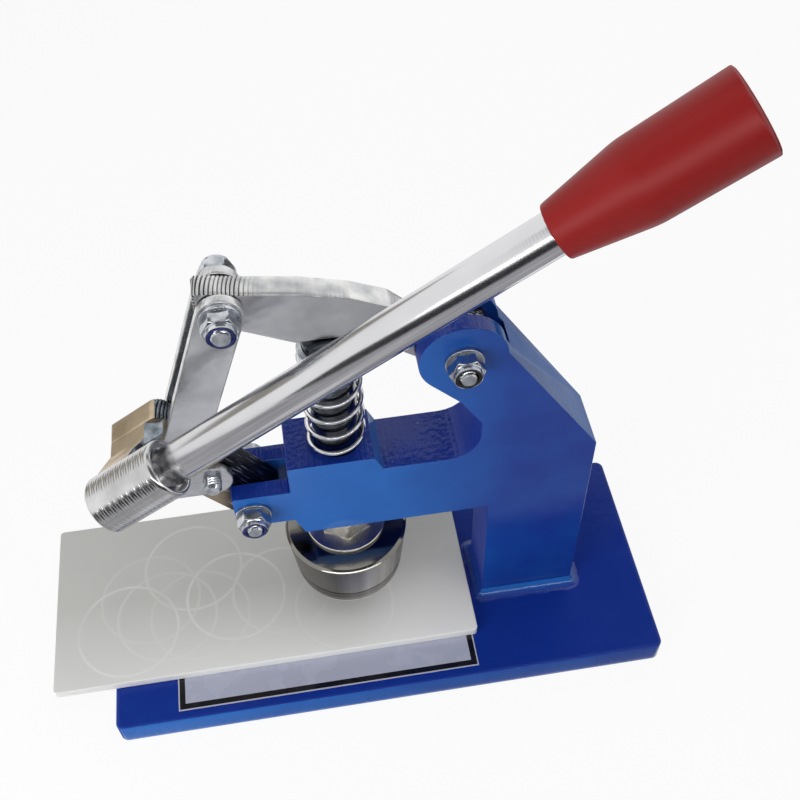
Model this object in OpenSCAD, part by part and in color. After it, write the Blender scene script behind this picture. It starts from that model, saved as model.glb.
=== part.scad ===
// Fabric sample cutter: a hand toggle press on a flat base.
// Pulling the handle over to the left turns the lever, the two hook links pull the press arm down,
// the arm pushes the ram, and the round knife meets the cutting board.
// Sizes in millimetres. Origin at the centre of the base's underside, X to the column, Y back, Z up.

/* [Base] */
// Length of the base plate
base_l = 275; // [250:1:320]
// Depth of the base plate
base_w = 117; // [100:1:140]
// Thickness of the base plate
base_t = 14; // [10:0.5:20]
// Radius of the base plate's corners
base_corner_r = 4; // [1:0.5:10]

/* [Label] */
// Length of the label
label_l = 150; // [120:1:160]
// Depth of the label
label_w = 42; // [30:1:60]
// Thickness of the label
label_t = 0.3; // [0.2:0.05:0.6]
// Width of the label's dark border
label_border_w = 3.4; // [2:0.1:6]
// Gap between the label's right end and the weld at the column's foot
label_gap = 3.5; // [2:0.1:10]
// Strip of base in front of the label
label_inset = 4.7; // [2:0.1:10]

/* [Cutting board] */
// Length of the cutting board
board_l = 213; // [180:1:213]
// Depth of the cutting board
board_w = 94.4; // [80:0.2:105]
// Thickness of the cutting board
board_t = 5.2; // [4:0.1:8]
// Left end of the cutting board
board_x = -167; // [-170:0.5:-150]
// Front edge of the cutting board
board_y = -36.9; // [-45:0.1:-30]
// Radius of the cutting board's corners
board_corner_r = 2; // [0.5:0.5:6]

/* [Frame] */
// Thickness of the frame plate
frame_t = 28; // [26:0.5:34]
// Left face of the column
column_x = 52.6; // [52:0.1:60]
// Width of the column
column_w = 47.5; // [40:0.5:55]
// Height of the throat over the base
throat_h = 81.9; // [81.9:0.1:90]
// Left face of the guide block
nose_x = -37; // [-39:0.1:-35]
// Right end of the guide block's top
block_right_x = 1; // [0.5:0.1:3]
// Top of the guide block over the base
block_h = 131.4; // [128:0.1:134]
// Floor of the recess beside the block, over the base
recess_h = 123.2; // [120:0.1:127]
// Left end of the recess floor
recess_x = 4.5; // [3:0.1:8]
// Right wall of the recess
recess_wall_x = 47.2; // [44:0.1:50]
// Radius of the recess's lower corner
recess_r = 14; // [8:0.5:18]
// Height of the recess wall's upper end over the base
recess_wall_h = 146; // [140:0.5:150]
// Upper corner of the recess under the ears
recess_corner = [38, 161.3];
// Height of the column's right face over the base
slant_h = 120.3; // [115:0.1:128]
// Angle on the ears where the slanted edge meets them
slant_angle = 4; // [0:0.5:20]
// Free ends of the fork tines
tine_end_x = -62.7; // [-63.5:0.1:-61]
// Underside of the fork tines over the base
tine_low = 93.1; // [91:0.1:95]
// Top of the fork tines over the base
tine_high = 114.6; // [113:0.1:116]
// Cut corner under each tine's free end
tine_chamfer = 5; // [2:0.5:8]
// Run of the slope between tine and arm undersides
nose_run = 4; // [2:0.5:8]
// Width of the slot between the fork tines
fork_slot_w = 11; // [10.7:0.1:13]
// Width of the slot between the ears
ear_slot_w = 12; // [11:0.1:13]
// Radius of the ears
ear_r = 18.2; // [17:0.1:20]
// Depth of the ear slot below the arm's pivot
ear_slot_depth = 17; // [16:0.5:20]
// Reach of the ear slot behind the arm's pivot
ear_slot_back = 20; // [16:0.5:21]
// Leg of the weld round the column's foot
weld_leg = 5.8; // [3:0.1:6]

/* [Pivots] */
// Lever pivot: distance from the base's centre
fork_x = -54.5; // [-55.5:0.1:-53.5]
// Lever pivot: height over the base
fork_h = 102.9; // [102:0.1:104]
// Arm pivot: distance from the base's centre
ear_x = 38.5; // [37:0.1:40]
// Arm pivot: height over the base
ear_h = 187.3; // [186:0.1:189]
// Upper link pivot in the rest pose: distance from the base's centre
link_top_x = -51.7; // [-53:0.1:-50]
// Upper link pivot in the rest pose: height over the base
link_top_h = 222.8; // [221:0.1:225]
// Distance between the lever's two pivots
crank_l = 26.3; // [25.5:0.1:27]
// Slope of the handle in the rest pose
lever_angle = 34.2; // [33:0.1:35.5]

/* [Fasteners] */
// Radius of the pivot bolts
bolt_r = 4; // [3.5:0.1:4.5]
// Radial clearance of a pivot that turns
pivot_gap = 0.05; // [0.02:0.01:0.1]
// Radial clearance of a threaded or fixed seat
seat_gap = 0.05; // [0.02:0.01:0.1]
// Radius of the flat washers
washer_r = 8; // [7:0.1:9]
// Thickness of the flat washers
washer_t = 1.6; // [1:0.1:2]
// Width across flats of nuts and bolt heads
hex_af = 13; // [12:0.1:14]
// Height of the hexagon of a lock nut
nut_h = 5.6; // [5:0.1:7]
// Height of a lock nut's round collar
collar_h = 2.4; // [2:0.1:3]
// Radius of a lock nut's collar
collar_r = 5.9; // [5.6:0.1:6.2]
// Radius of the nylon ring in a lock nut's collar
insert_r = 5.2; // [4.8:0.1:5.4]
// Depth of the nylon ring
insert_h = 1.6; // [1:0.1:2]
// Height of a bolt head
head_h = 5.3; // [4:0.1:6]
// Thread standing out of a nut
thread_out = 0.8; // [0.3:0.1:1.5]

/* [Press arm] */
// Thickness of the press arm and of the lever plate
plate_t = 10; // [8:0.1:10]
// Radius of the arm's rear end
arm_rear_r = 14; // [12:0.5:15]
// Upper front corner of the arm, from the upper link pivot
arm_tip = [-7.4, 10];
// Front face of the arm, ahead of the upper link pivot
arm_front = 9; // [8:0.1:10]
// Lower front corner of the arm, under the upper link pivot
arm_front_low = 5.3; // [5:0.1:7]
// Upper end of the arm's front face, over the upper link pivot
arm_front_high = 8.2; // [7:0.1:9]
// Upper edge of the arm: distances from the arm pivot
arm_top_1 = [-81.6, 42.2];
// Upper edge of the arm, second point
arm_top_2 = [-60.2, 38.4];
// Upper edge of the arm, third point
arm_top_3 = [-42.1, 33.2];
// Upper edge of the arm, fourth point
arm_top_4 = [-27.3, 26.3];
// Upper edge of the arm, fifth point
arm_top_5 = [-19.5, 18.5];
// Height of the flat land that pushes the ram, over the arm pivot
land_z = 12.9; // [12:0.1:13.5]
// Front end of the land, ahead of the arm pivot
land_front = -64.5; // [-66:0.5:-63]
// Rear end of the land, ahead of the arm pivot
land_rear = -40; // [-44:0.5:-38]
// Lower front stretch of the arm, from the arm pivot
arm_low = [-82.4, 22.2];

/* [Links] */
// Thickness of a link
link_t = 4; // [3:0.1:5]
// Width of a link
link_w = 18; // [16:0.2:18.5]
// Gap between a link and the plate beside it
link_gap = 0.5; // [0.3:0.05:0.8]
// Length of the short leg of a link
link_foot_l = 16.7; // [15:0.1:18]
// Thread of the lower bolt standing out of the near link
foot_thread = 5.2; // [3:0.1:5.3]

/* [Lever] */
// Width of the lever plate
lever_w = 26; // [24:0.2:28]
// Length of the lever plate over its pivot
lever_l = 71.5; // [70:0.5:74]
// Left side of the lever plate's head from its middle line
lever_left = 15; // [13:0.1:16]
// Radius of the lever plate's upper right corner
lever_corner_r = 5; // [2:0.5:8]
// Cut of the lever plate's upper left corner
lever_cut = 1.5; // [0.5:0.1:4]
// Distance of the handle's axis from the lever pivot
handle_h = 72; // [70:0.2:74]
// Distance of the handle's axis in front of the frame's middle
handle_y = 35; // [34:0.2:38]
// Radius of the handle socket
socket_r = 12; // [11:0.1:13]
// Length of the handle socket
socket_l = 34; // [30:0.5:40]
// Shift of the socket's middle along the handle
socket_shift = 2; // [0:0.1:3]
// Depth of the rod in the socket
rod_seat = 26; // [20:0.5:30]
// Radius of the dished mouth of the socket
socket_mouth_r = 10; // [9:0.1:10.5]
// Depth of the dished mouth of the socket
socket_mouth_h = 2.5; // [1:0.1:4]
// Left side of the stem at the lever plate, from the lever's middle line
stem_left = -13.5; // [-14.5:0.1:-9]
// Right side of the stem at the socket, from the lever's middle line
stem_right = 2; // [0:0.1:4]
// Right end of the stem's shoulder, from the lever's middle line
shoulder_x = 12; // [8:0.1:12.5]
// Height of the shoulder's right end over the lever pivot
shoulder_h = 67.8; // [67.5:0.1:69]
// Start of the shoulder's slope, from the lever's middle line
shoulder_start_x = 5; // [4:0.1:7]
// Underside of the stem over the lever pivot
stem_low = 61; // [60:0.1:63]
// Start of the slope under the stem, from the lever's middle line
stem_slope_x = -3; // [-5:0.1:-2]
// Depth of the stem's level top, in front of the frame's middle
stem_level_y = 12; // [10:0.1:16]
// Depth at which the stem has narrowed, in front of the frame's middle
stem_neck_y = 18; // [16.5:0.1:22]
// Gap of the stem's weld seat on the socket
weld_gap = 0.05; // [0.02:0.01:0.1]

/* [Handle] */
// Radius of the handle rod
rod_r = 8; // [7:0.1:8.5]
// Radius of the rod's end inside the grip
tang_r = 6; // [5:0.1:7]
// Length of the rod's end inside the grip
tang_l = 45; // [35:0.5:55]
// Start of the grip from the lever pivot, along the handle
grip_start = 190.3; // [170:0.1:200]
// Length of the grip
grip_l = 71.5; // [65:0.1:80]
// Radius of the grip's small end
grip_small_r = 10.2; // [9:0.05:11]
// Distance of the grip's shoulder from its small end
grip_shoulder = 29.5; // [25:0.1:33]
// Radius of the grip at its shoulder
grip_shoulder_r = 15.15; // [14:0.05:16]
// Largest radius of the grip
grip_r = 15.65; // [14.5:0.05:16.5]
// Height of the grip's domed end
grip_dome = 2.5; // [2:0.1:5]

/* [Ram] */
// Distance of the ram's axis from the base's centre
ram_x = -13.75; // [-14.5:0.05:-13]
// Radius of the ram
ram_r = 10; // [9:0.1:10.5]
// Sphere radius of the ram's domed top
ram_dome_r = 18; // [16:0.5:24]
// Gap between the ram's top and the press arm
ram_top_gap = 0.35; // [0.3:0.01:0.5]
// Travel of the ram
ram_travel = 26.8; // [26.7:0.05:27]
// Gap between the knife and the board at full travel
knife_gap = 0.3; // [0.3:0.05:0.6]
// Radius of the spring cap
cap_r = 12.4; // [12.2:0.1:13.5]
// Thickness of the spring cap
cap_t = 3; // [2:0.1:4]
// Radius of the retaining ring on the spring cap
clip_r = 11.6; // [11.3:0.1:12]
// Thickness of the retaining ring
clip_t = 1.5; // [1:0.1:2]
// Depth of the retaining ring's top below the ram's top
clip_drop = 6.5; // [6:0.1:9]
// Radius of the spring's wire
wire_r = 1; // [0.8:0.05:1.1]
// Mean radius of the spring
spring_r = 12; // [11.8:0.1:12.4]
// Number of turns of the spring
spring_turns = 6; // [5:1:8]
// Number of turns lying close at each end
spring_close_turns = 0.5; // [0.5:0.5:1]
// Rise of one close turn
close_pitch = 2.6; // [2.45:0.05:3]
// Gap between the spring's ends and their seats
spring_seat_gap = 0.05; // [0.02:0.01:0.2]

/* [Cutter] */
// Radius of the cutting edge
knife_r = 25.25; // [24:0.05:26]
// Radius of the cutter's top
cutter_top_r = 29.15; // [28:0.05:30]
// Height of the cutter
cutter_h = 33.4; // [32.5:0.1:33.8]
// Chamfer on the cutter's top edge
cutter_chamfer = 1; // [0.5:0.1:2]
// Height of the ground bevel of the cutting edge
bevel_h = 4; // [2:0.1:6]
// Width of the ground bevel
bevel_w = 0.9; // [0.5:0.1:1.5]
// Wall of the knife at its bevel
knife_wall = 0.35; // [0.2:0.05:0.6]
// Depth of the hollow inside the knife
knife_depth = 14; // [10:0.5:16]
// Depth of the ejector pad behind the cutting edge
pad_inset = 2.2; // [1:0.1:3]
// Side gap round the ejector pad
pad_gap = 0.3; // [0.2:0.05:0.6]
// Radius of the large washer
cutter_washer_r = 19; // [17:0.1:20]
// Thickness of the large washer
cutter_washer_t = 2.5; // [2:0.1:3]
// Width across flats of the cutter's nut
cutter_nut_af = 22; // [20:0.2:24]
// Height of the cutter's nut
cutter_nut_h = 10.8; // [10:0.1:11]
// Turn of the cutter's nut from a corner on the right
cutter_nut_turn = 30; // [0:5:60]
// Radius of the ram's thread
ram_thread_r = 7; // [6:0.1:8]
// Thread length inside the cutter
ram_thread_seat = 15; // [10:0.5:17]

/* [Quality] */
// Sides of a round piece
round_sides = 48; // [24:4:72]
// Sides of the spring's wire
wire_sides = 6; // [6:1:8]
// Rings in one turn of the spring
turn_rings = 8; // [8:2:16]
// Steps of a rounded outline
arc_steps = 6; // [4:1:10]
// Steps of a round plate end
end_steps = 20; // [12:2:32]

/* [Hidden] */
$fn = round_sides;
fork = [fork_x, base_t + fork_h];
ear = [ear_x, base_t + ear_h];
link_top = [link_top_x, base_t + link_top_h];
lever_dir = [cos(lever_angle), sin(lever_angle)];
lever_up = [-sin(lever_angle), cos(lever_angle)];
crank = fork + crank_l * lever_up;
knee = crank - [link_foot_l, 0];
throat_z = base_t + throat_h;
block_z = base_t + block_h;
board_z = base_t + label_t;
column_right = column_x + column_w;
label_x = column_x - weld_leg - label_gap - label_l;
half_t = frame_t / 2;
half_plate = plate_t / 2;
link_in = half_plate + link_gap;
link_out = link_in + link_t;
nut_stack = washer_t + nut_h + collar_h + thread_out;
turn_r = bolt_r + pivot_gap;
seat_r = bolt_r + seat_gap;
ram_top_z = ear[1] + land_z - ram_top_gap;
clip_z = ram_top_z - clip_drop - clip_t;
cap_z = clip_z - cap_t;
spring_z0 = block_z + spring_seat_gap + wire_r;
spring_z1 = cap_z - spring_seat_gap - wire_r;
edge_z = board_z + board_t + knife_gap + ram_travel;
cutter_top_z = edge_z + cutter_h;
cutter_nut_z = cutter_top_z + cutter_washer_t;
nut_top_z = cutter_nut_z + cutter_nut_h;
knife_in_r = knife_r - knife_wall;
overcut = 1;

// Angle on a circle where the line from an outside point touches it
function touch_angle(p, c, r, side) =
    atan2(p[1] - c[1], p[0] - c[0]) + side * acos(r / norm(p - c));

// Point on a circle where the line from an outside point touches it
function touch_point(p, c, r, side) =
    let (a = touch_angle(p, c, r, side))
    c + r * [cos(a), sin(a)];

// Points of an arc
function arc(c, r, a0, a1, steps = arc_steps) =
    [for (i = [0 : steps])
        let (a = a0 + (a1 - a0) * i / steps)
        c + r * [cos(a), sin(a)]];

// Upright plate of a side outline, centred on the frame's middle plane
module upright(t, y = 0) {
    translate([0, y + t / 2, 0])
        rotate([90, 0, 0])
            linear_extrude(height = t)
                children();
}

// Place of a pivot, its local Z pointing to the front
module pivot(p, y) {
    translate([p[0], y, p[1]])
        rotate([90, 0, 0])
            children();
}

// Hole through every plate at a pivot
module pivot_hole(p, r) {
    pivot(p, frame_t)
        cylinder(r = r, h = 2 * frame_t);
}

// Block with round upright corners
module rounded_slab(l, w, r, h) {
    linear_extrude(height = h) {
        translate([r, 0]) square([l - 2 * r, w]);
        translate([0, r]) square([l, w - 2 * r]);
        for (x = [r, l - r])
            for (y = [r, w - r])
                translate([x, y]) circle(r = r);
    }
}

module hexagon(af, h) {
    cylinder(r = af / 2 / cos(30), h = h, $fn = 6);
}

module ring(r_out, r_in, h) {
    difference() {
        cylinder(r = r_out, h = h);
        translate([0, 0, -overcut])
            cylinder(r = r_in, h = h + 2 * overcut);
    }
}

// Lock nut without its nylon ring, seat at local zero
module lock_nut() {
    difference() {
        union() {
            hexagon(hex_af, nut_h);
            translate([0, 0, nut_h])
                cylinder(r = collar_r, h = collar_h);
        }
        translate([0, 0, -overcut])
            cylinder(r = seat_r, h = nut_h + collar_h + 2 * overcut);
        translate([0, 0, nut_h + collar_h - insert_h])
            cylinder(r = insert_r, h = insert_h + overcut);
    }
}

// Nylon ring of a lock nut whose seat is at local zero
module nut_insert() {
    translate([0, 0, nut_h + collar_h - insert_h])
        ring(insert_r - seat_gap, seat_r, insert_h);
}

// Through bolt of the frame, head behind, with its end past the front nut
module frame_bolt(p) {
    pivot(p, half_t + washer_t + head_h) {
        hexagon(hex_af, head_h);
        cylinder(r = bolt_r, h = head_h + washer_t + frame_t + nut_stack);
    }
}

module frame_washers(p) {
    pivot(p, half_t + washer_t) ring(washer_r, seat_r, washer_t);
    pivot(p, -half_t) ring(washer_r, seat_r, washer_t);
}

// Lever's own axes: X along the handle, Z up the lever plate
module lever_axes() {
    translate([fork[0], 0, fork[1]])
        rotate([0, -lever_angle, 0])
            children();
}

module base_plate() {
    color([0.09, 0.2, 0.5])
        translate([-base_l / 2, -base_w / 2, 0])
            rounded_slab(base_l, base_w, base_corner_r, base_t);
}

module label_border() {
    color([0.05, 0.05, 0.06])
        translate([label_x, label_inset - base_w / 2, base_t])
            difference() {
                cube([label_l, label_w, label_t]);
                translate([label_border_w, label_border_w, -overcut])
                    cube([label_l - 2 * label_border_w, label_w - 2 * label_border_w, label_t + 2 * overcut]);
            }
}

module label_sheet() {
    color([0.76, 0.76, 0.82])
        translate([label_x + label_border_w, label_inset - base_w / 2 + label_border_w, base_t])
            cube([label_l - 2 * label_border_w, label_w - 2 * label_border_w, label_t]);
}

module frame_outline() {
    slant = [column_right, base_t + slant_h];
    corner = [recess_corner[0], base_t + recess_corner[1]];
    recess_z = base_t + recess_h;
    tine_z = base_t + tine_low;
    polygon(concat(
        [[column_x, base_t], [column_right, base_t], slant],
        [ear + ear_r * [cos(slant_angle), sin(slant_angle)], touch_point(corner, ear, ear_r, -1), corner],
        [[recess_wall_x, base_t + recess_wall_h]],
        arc([recess_wall_x - recess_r, recess_z + recess_r], recess_r, 0, -90),
        [[recess_x, recess_z], [block_right_x, block_z], [nose_x, block_z]],
        [[nose_x, base_t + tine_high], [tine_end_x, base_t + tine_high]],
        [[tine_end_x, tine_z + tine_chamfer], [tine_end_x + tine_chamfer, tine_z]],
        [[nose_x, tine_z], [nose_x + nose_run, throat_z], [column_x, throat_z]]));
}

module frame_block() {
    color([0.17, 0.36, 0.66])
        difference() {
            union() {
                upright(frame_t) frame_outline();
                pivot(ear, half_t) cylinder(r = ear_r, h = frame_t);
            }
            translate([tine_end_x - overcut, -fork_slot_w / 2, throat_z])
                cube([nose_x - tine_end_x + overcut, fork_slot_w, block_h]);
            translate([ear_x - 2 * ear_r, -ear_slot_w / 2, ear[1] - ear_slot_depth])
                cube([2 * ear_r + ear_slot_back, ear_slot_w, ear_slot_depth + 2 * ear_r]);
            translate([ram_x, 0, throat_z - overcut])
                cylinder(r = ram_r + pivot_gap, h = block_z - throat_z + 2 * overcut);
            pivot_hole(fork, seat_r);
            pivot_hole(ear, seat_r);
        }
}

module foot_weld() {
    color([0.14, 0.3, 0.6])
        translate([column_x, -half_t, base_t])
            difference() {
                hull() {
                    translate([-weld_leg, -weld_leg, 0])
                        cube([column_w + 2 * weld_leg, frame_t + 2 * weld_leg, weld_gap]);
                    translate([-weld_gap, -weld_gap, weld_leg])
                        cube([column_w + 2 * weld_gap, frame_t + 2 * weld_gap, weld_gap]);
                }
                translate([0, 0, -overcut])
                    cube([column_w, frame_t, weld_leg + 2 * overcut]);
            }
}

module fork_bolt() {
    color([0.6, 0.6, 0.62]) frame_bolt(fork);
}

module fork_washers() {
    color([0.7, 0.7, 0.72]) frame_washers(fork);
}

module fork_nut() {
    color([0.72, 0.72, 0.74]) pivot(fork, -half_t - washer_t) lock_nut();
}

module fork_nut_insert() {
    color([0.1, 0.3, 0.7]) pivot(fork, -half_t - washer_t) nut_insert();
}

module ear_bolt() {
    color([0.6, 0.6, 0.62]) frame_bolt(ear);
}

module ear_washers() {
    color([0.7, 0.7, 0.72]) frame_washers(ear);
}

module ear_nut() {
    color([0.72, 0.72, 0.74]) pivot(ear, -half_t - washer_t) lock_nut();
}

module ear_nut_insert() {
    color([0.08, 0.08, 0.09]) pivot(ear, -half_t - washer_t) nut_insert();
}

// Lever plate in its own axes: round foot, straight sides, rounded right and cut left corner on top
module lever_outline() {
    r = lever_w / 2;
    polygon(concat(
        arc([0, 0], r, 180, 360, end_steps),
        arc([r - lever_corner_r, lever_l - lever_corner_r], lever_corner_r, 0, 90),
        [[lever_cut - lever_left, lever_l], [-lever_left, lever_l - lever_cut], [-lever_left, lever_l / 2]]));
}

module lever_plate() {
    color([0.66, 0.63, 0.56])
        difference() {
            upright(plate_t)
                translate(fork)
                    rotate(lever_angle)
                        lever_outline();
            pivot_hole(fork, turn_r);
            pivot_hole(crank, turn_r);
        }
}

// Bar from the lever plate's near face out to the handle socket: a level top with a sloped right shoulder
// beside the plate, then a narrower neck whose top rises to the socket's top
module hub_stem() {
    top_n = handle_h + socket_r;
    color([0.66, 0.6, 0.5])
        lever_axes()
            difference() {
                intersection() {
                    translate([-lever_w, 0, 0])
                        rotate([90, 0, 90])
                            linear_extrude(height = 2 * lever_w)
                                polygon([[-half_plate, stem_low], [-half_plate, lever_l],
                                    [-stem_level_y, lever_l], [-handle_y, top_n], [-handle_y, stem_low]]);
                    upright(4 * handle_y)
                        polygon([[-lever_w, stem_low], [stem_slope_x, stem_low], [shoulder_x, shoulder_h],
                            [shoulder_start_x, lever_l], [shoulder_start_x, 2 * top_n], [-lever_w, 2 * top_n]]);
                    linear_extrude(height = 2 * top_n)
                        polygon([[shoulder_x, -half_plate], [stem_left, -half_plate], [-lever_left, -handle_y],
                            [stem_right, -handle_y], [stem_right, -stem_neck_y], [shoulder_x, -stem_level_y]]);
                }
                translate([-socket_l, -handle_y, handle_h])
                    rotate([0, 90, 0])
                        cylinder(r = socket_r + weld_gap, h = 2 * socket_l);
            }
}

module handle_socket() {
    color([0.7, 0.7, 0.72])
        lever_axes()
            translate([socket_shift - socket_l / 2, -handle_y, handle_h])
                rotate([0, 90, 0])
                    difference() {
                        cylinder(r = socket_r, h = socket_l);
                        translate([0, 0, socket_l - rod_seat])
                            cylinder(r = rod_r + seat_gap, h = rod_seat + overcut);
                        translate([0, 0, socket_l - socket_mouth_h])
                            cylinder(r = socket_mouth_r, h = socket_mouth_h + overcut);
                    }
}

module handle_rod() {
    rod_start = socket_shift + socket_l / 2 - rod_seat;
    color([0.8, 0.8, 0.82])
        lever_axes()
            translate([rod_start, -handle_y, handle_h])
                rotate([0, 90, 0]) {
                    cylinder(r = rod_r, h = grip_start - rod_start);
                    cylinder(r = tang_r, h = grip_start - rod_start + tang_l);
                }
}

module handle_grip() {
    dome_z = grip_l - grip_dome;
    color([0.55, 0.11, 0.1])
        lever_axes()
            translate([grip_start, -handle_y, handle_h])
                rotate([0, 90, 0])
                    difference() {
                        rotate_extrude()
                            polygon(concat(
                                [[0, 0], [grip_small_r, 0], [grip_shoulder_r, grip_shoulder]],
                                [for (i = [0 : arc_steps])
                                    let (a = 90 * i / arc_steps)
                                    [grip_r * cos(a), dome_z + grip_dome * sin(a)]]));
                        translate([0, 0, -overcut])
                            cylinder(r = tang_r + seat_gap, h = tang_l + 2 * overcut);
                    }
}

// Hook outline of a link: long leg from the upper pivot to the knee, short leg on to the lower pivot
module link_outline() {
    r = link_w / 2;
    leg = (knee - link_top) / norm(knee - link_top);
    left = atan2(-leg[0], leg[1]);
    right_side = link_top + r * [-leg[1], leg[0]];
    inner = right_side + leg * (knee[1] + r - right_side[1]) / leg[1];
    polygon(concat(
        arc(link_top, r, left, left - 180, end_steps),
        [inner],
        arc(crank, r, 90, -90, end_steps),
        arc(knee, r, -90, left - 360, end_steps)));
}

module link_plate(y) {
    difference() {
        upright(link_t, y) link_outline();
        pivot_hole(link_top, seat_r);
        pivot_hole(crank, seat_r);
    }
}

module link_near() {
    color([0.6, 0.66, 0.74]) link_plate(-(link_in + link_out) / 2);
}

module link_far() {
    color([0.6, 0.66, 0.74]) link_plate((link_in + link_out) / 2);
}

module link_foot_bolt() {
    color([0.62, 0.6, 0.55])
        pivot(crank, link_out + head_h) {
            hexagon(hex_af, head_h);
            cylinder(r = bolt_r, h = head_h + 2 * link_out + foot_thread);
        }
}

// Threaded ends of the upper link pivot, one in each link
module link_studs() {
    color([0.6, 0.6, 0.62]) {
        pivot(link_top, -link_in) cylinder(r = bolt_r, h = link_t + nut_stack);
        pivot(link_top, link_out + nut_stack) cylinder(r = bolt_r, h = link_t + nut_stack);
    }
}

module link_washers() {
    color([0.7, 0.7, 0.72]) {
        pivot(link_top, -link_out) ring(washer_r, seat_r, washer_t);
        pivot(link_top, link_out + washer_t) ring(washer_r, seat_r, washer_t);
    }
}

module link_nuts() {
    color([0.72, 0.72, 0.74]) {
        pivot(link_top, -link_out - washer_t) lock_nut();
        pivot(link_top, link_out + washer_t) rotate([180, 0, 0]) lock_nut();
    }
}

module link_nut_inserts() {
    color([0.1, 0.3, 0.7]) {
        pivot(link_top, -link_out - washer_t) nut_insert();
        pivot(link_top, link_out + washer_t) rotate([180, 0, 0]) nut_insert();
    }
}

module arm_outline() {
    tip = link_top - ear;
    front = tip[0] - arm_front;
    land = [land_rear, land_z];
    polygon([for (p = concat(
        [land, [land_front, land_z], arm_low],
        [[front, tip[1] - arm_front_low], [front, tip[1] + arm_front_high], tip + arm_tip],
        [arm_top_1, arm_top_2, arm_top_3, arm_top_4, arm_top_5],
        arc([0, 0], arm_rear_r, touch_angle(arm_top_5, [0, 0], arm_rear_r, -1),
            touch_angle(land, [0, 0], arm_rear_r, 1) - 360))) ear + p]);
}

module press_arm() {
    color([0.62, 0.62, 0.62])
        difference() {
            upright(plate_t) arm_outline();
            pivot_hole(ear, turn_r);
            pivot_hole(link_top, seat_r);
        }
}

module arm_end_pin() {
    color([0.6, 0.6, 0.62])
        pivot(link_top, half_plate) cylinder(r = bolt_r, h = plate_t);
}

module ram() {
    dome_drop = ram_dome_r - sqrt(ram_dome_r * ram_dome_r - ram_r * ram_r);
    dome_angle = asin(ram_r / ram_dome_r);
    color([0.75, 0.75, 0.77])
        translate([ram_x, 0, 0]) {
            translate([0, 0, nut_top_z])
                cylinder(r = ram_r, h = ram_top_z - dome_drop - nut_top_z);
            translate([0, 0, cutter_top_z - ram_thread_seat])
                cylinder(r = ram_thread_r, h = nut_top_z - cutter_top_z + ram_thread_seat + overcut);
            translate([0, 0, ram_top_z - ram_dome_r])
                rotate_extrude()
                    polygon(concat(
                        [[0, ram_dome_r - dome_drop - overcut], [ram_r, ram_dome_r - dome_drop - overcut]],
                        [for (i = [0 : arc_steps])
                            let (a = dome_angle * (1 - i / arc_steps))
                            [ram_dome_r * sin(a), ram_dome_r * cos(a)]]));
        }
}

module spring_cap() {
    color([0.7, 0.7, 0.72])
        translate([ram_x, 0, cap_z]) ring(cap_r, ram_r + seat_gap, cap_t);
}

module cap_clip() {
    color([0.3, 0.3, 0.32])
        translate([ram_x, 0, clip_z]) ring(clip_r, ram_r + seat_gap, clip_t);
}

// Height along the spring at a number of turns from its lower end
function spring_height(t) =
    let (open_turns = spring_turns - 2 * spring_close_turns,
        close_rise = spring_close_turns * close_pitch,
        open_rise = spring_z1 - spring_z0 - 2 * close_rise)
    t < spring_close_turns ? spring_z0 + t * close_pitch
        : t > spring_turns - spring_close_turns ? spring_z1 - (spring_turns - t) * close_pitch
        : spring_z0 + close_rise + (t - spring_close_turns) / open_turns * open_rise;

// Centre of the spring's wire at one ring
function spring_point(i) =
    let (t = i / turn_rings)
    [ram_x + spring_r * cos(360 * t), spring_r * sin(360 * t), spring_height(t)];

// Corner of one ring of the wire
function wire_point(i, j) =
    let (a = 360 * i / turn_rings, b = 360 * j / wire_sides)
    spring_point(i) + wire_r * [cos(b) * cos(a), cos(b) * sin(a), sin(b)];

// One unbroken tube wound round the ram
module return_spring() {
    last = spring_turns * turn_rings;
    points = [for (i = [0 : last]) for (j = [0 : wire_sides - 1]) wire_point(i, j)];
    walls = [for (i = [0 : last - 1]) for (j = [0 : wire_sides - 1])
        let (a = i * wire_sides + j, b = i * wire_sides + (j + 1) % wire_sides)
        each [[a, b, b + wire_sides], [a, b + wire_sides, a + wire_sides]]];
    foot = [for (j = [1 : wire_sides - 2]) [0, j + 1, j]];
    top = [for (j = [1 : wire_sides - 2]) [0, j, j + 1] + last * wire_sides * [1, 1, 1]];
    color([0.72, 0.72, 0.72])
        polyhedron(points = points, faces = concat(walls, foot, top), convexity = 10);
}

// Least gap of the spring to itself, from one turn's points to the next turn's
spring_gap = min([for (i = [0 : spring_turns * turn_rings]) for (k = [i + turn_rings / 2 : spring_turns * turn_rings])
    norm(spring_point(i) - spring_point(k)) - 2 * wire_r]);
echo(spring_gap = spring_gap);

module cutter_nut() {
    color([0.7, 0.7, 0.72])
        translate([ram_x, 0, cutter_nut_z])
            difference() {
                rotate(cutter_nut_turn) hexagon(cutter_nut_af, cutter_nut_h);
                translate([0, 0, -overcut])
                    cylinder(r = ram_thread_r + seat_gap, h = cutter_nut_h + 2 * overcut);
            }
}

module cutter_washer() {
    color([0.3, 0.3, 0.32])
        translate([ram_x, 0, cutter_top_z])
            ring(cutter_washer_r, ram_thread_r + seat_gap, cutter_washer_t);
}

module cutter_head() {
    color([0.7, 0.7, 0.7])
        translate([ram_x, 0, edge_z])
            difference() {
                rotate_extrude()
                    polygon([[0, knife_depth], [knife_in_r, knife_depth], [knife_in_r, 0], [knife_r, 0],
                        [knife_r + bevel_w, bevel_h], [cutter_top_r, cutter_h - cutter_chamfer],
                        [cutter_top_r - cutter_chamfer, cutter_h], [0, cutter_h]]);
                translate([0, 0, cutter_h - ram_thread_seat])
                    cylinder(r = ram_thread_r + seat_gap, h = ram_thread_seat + overcut);
            }
}

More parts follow.
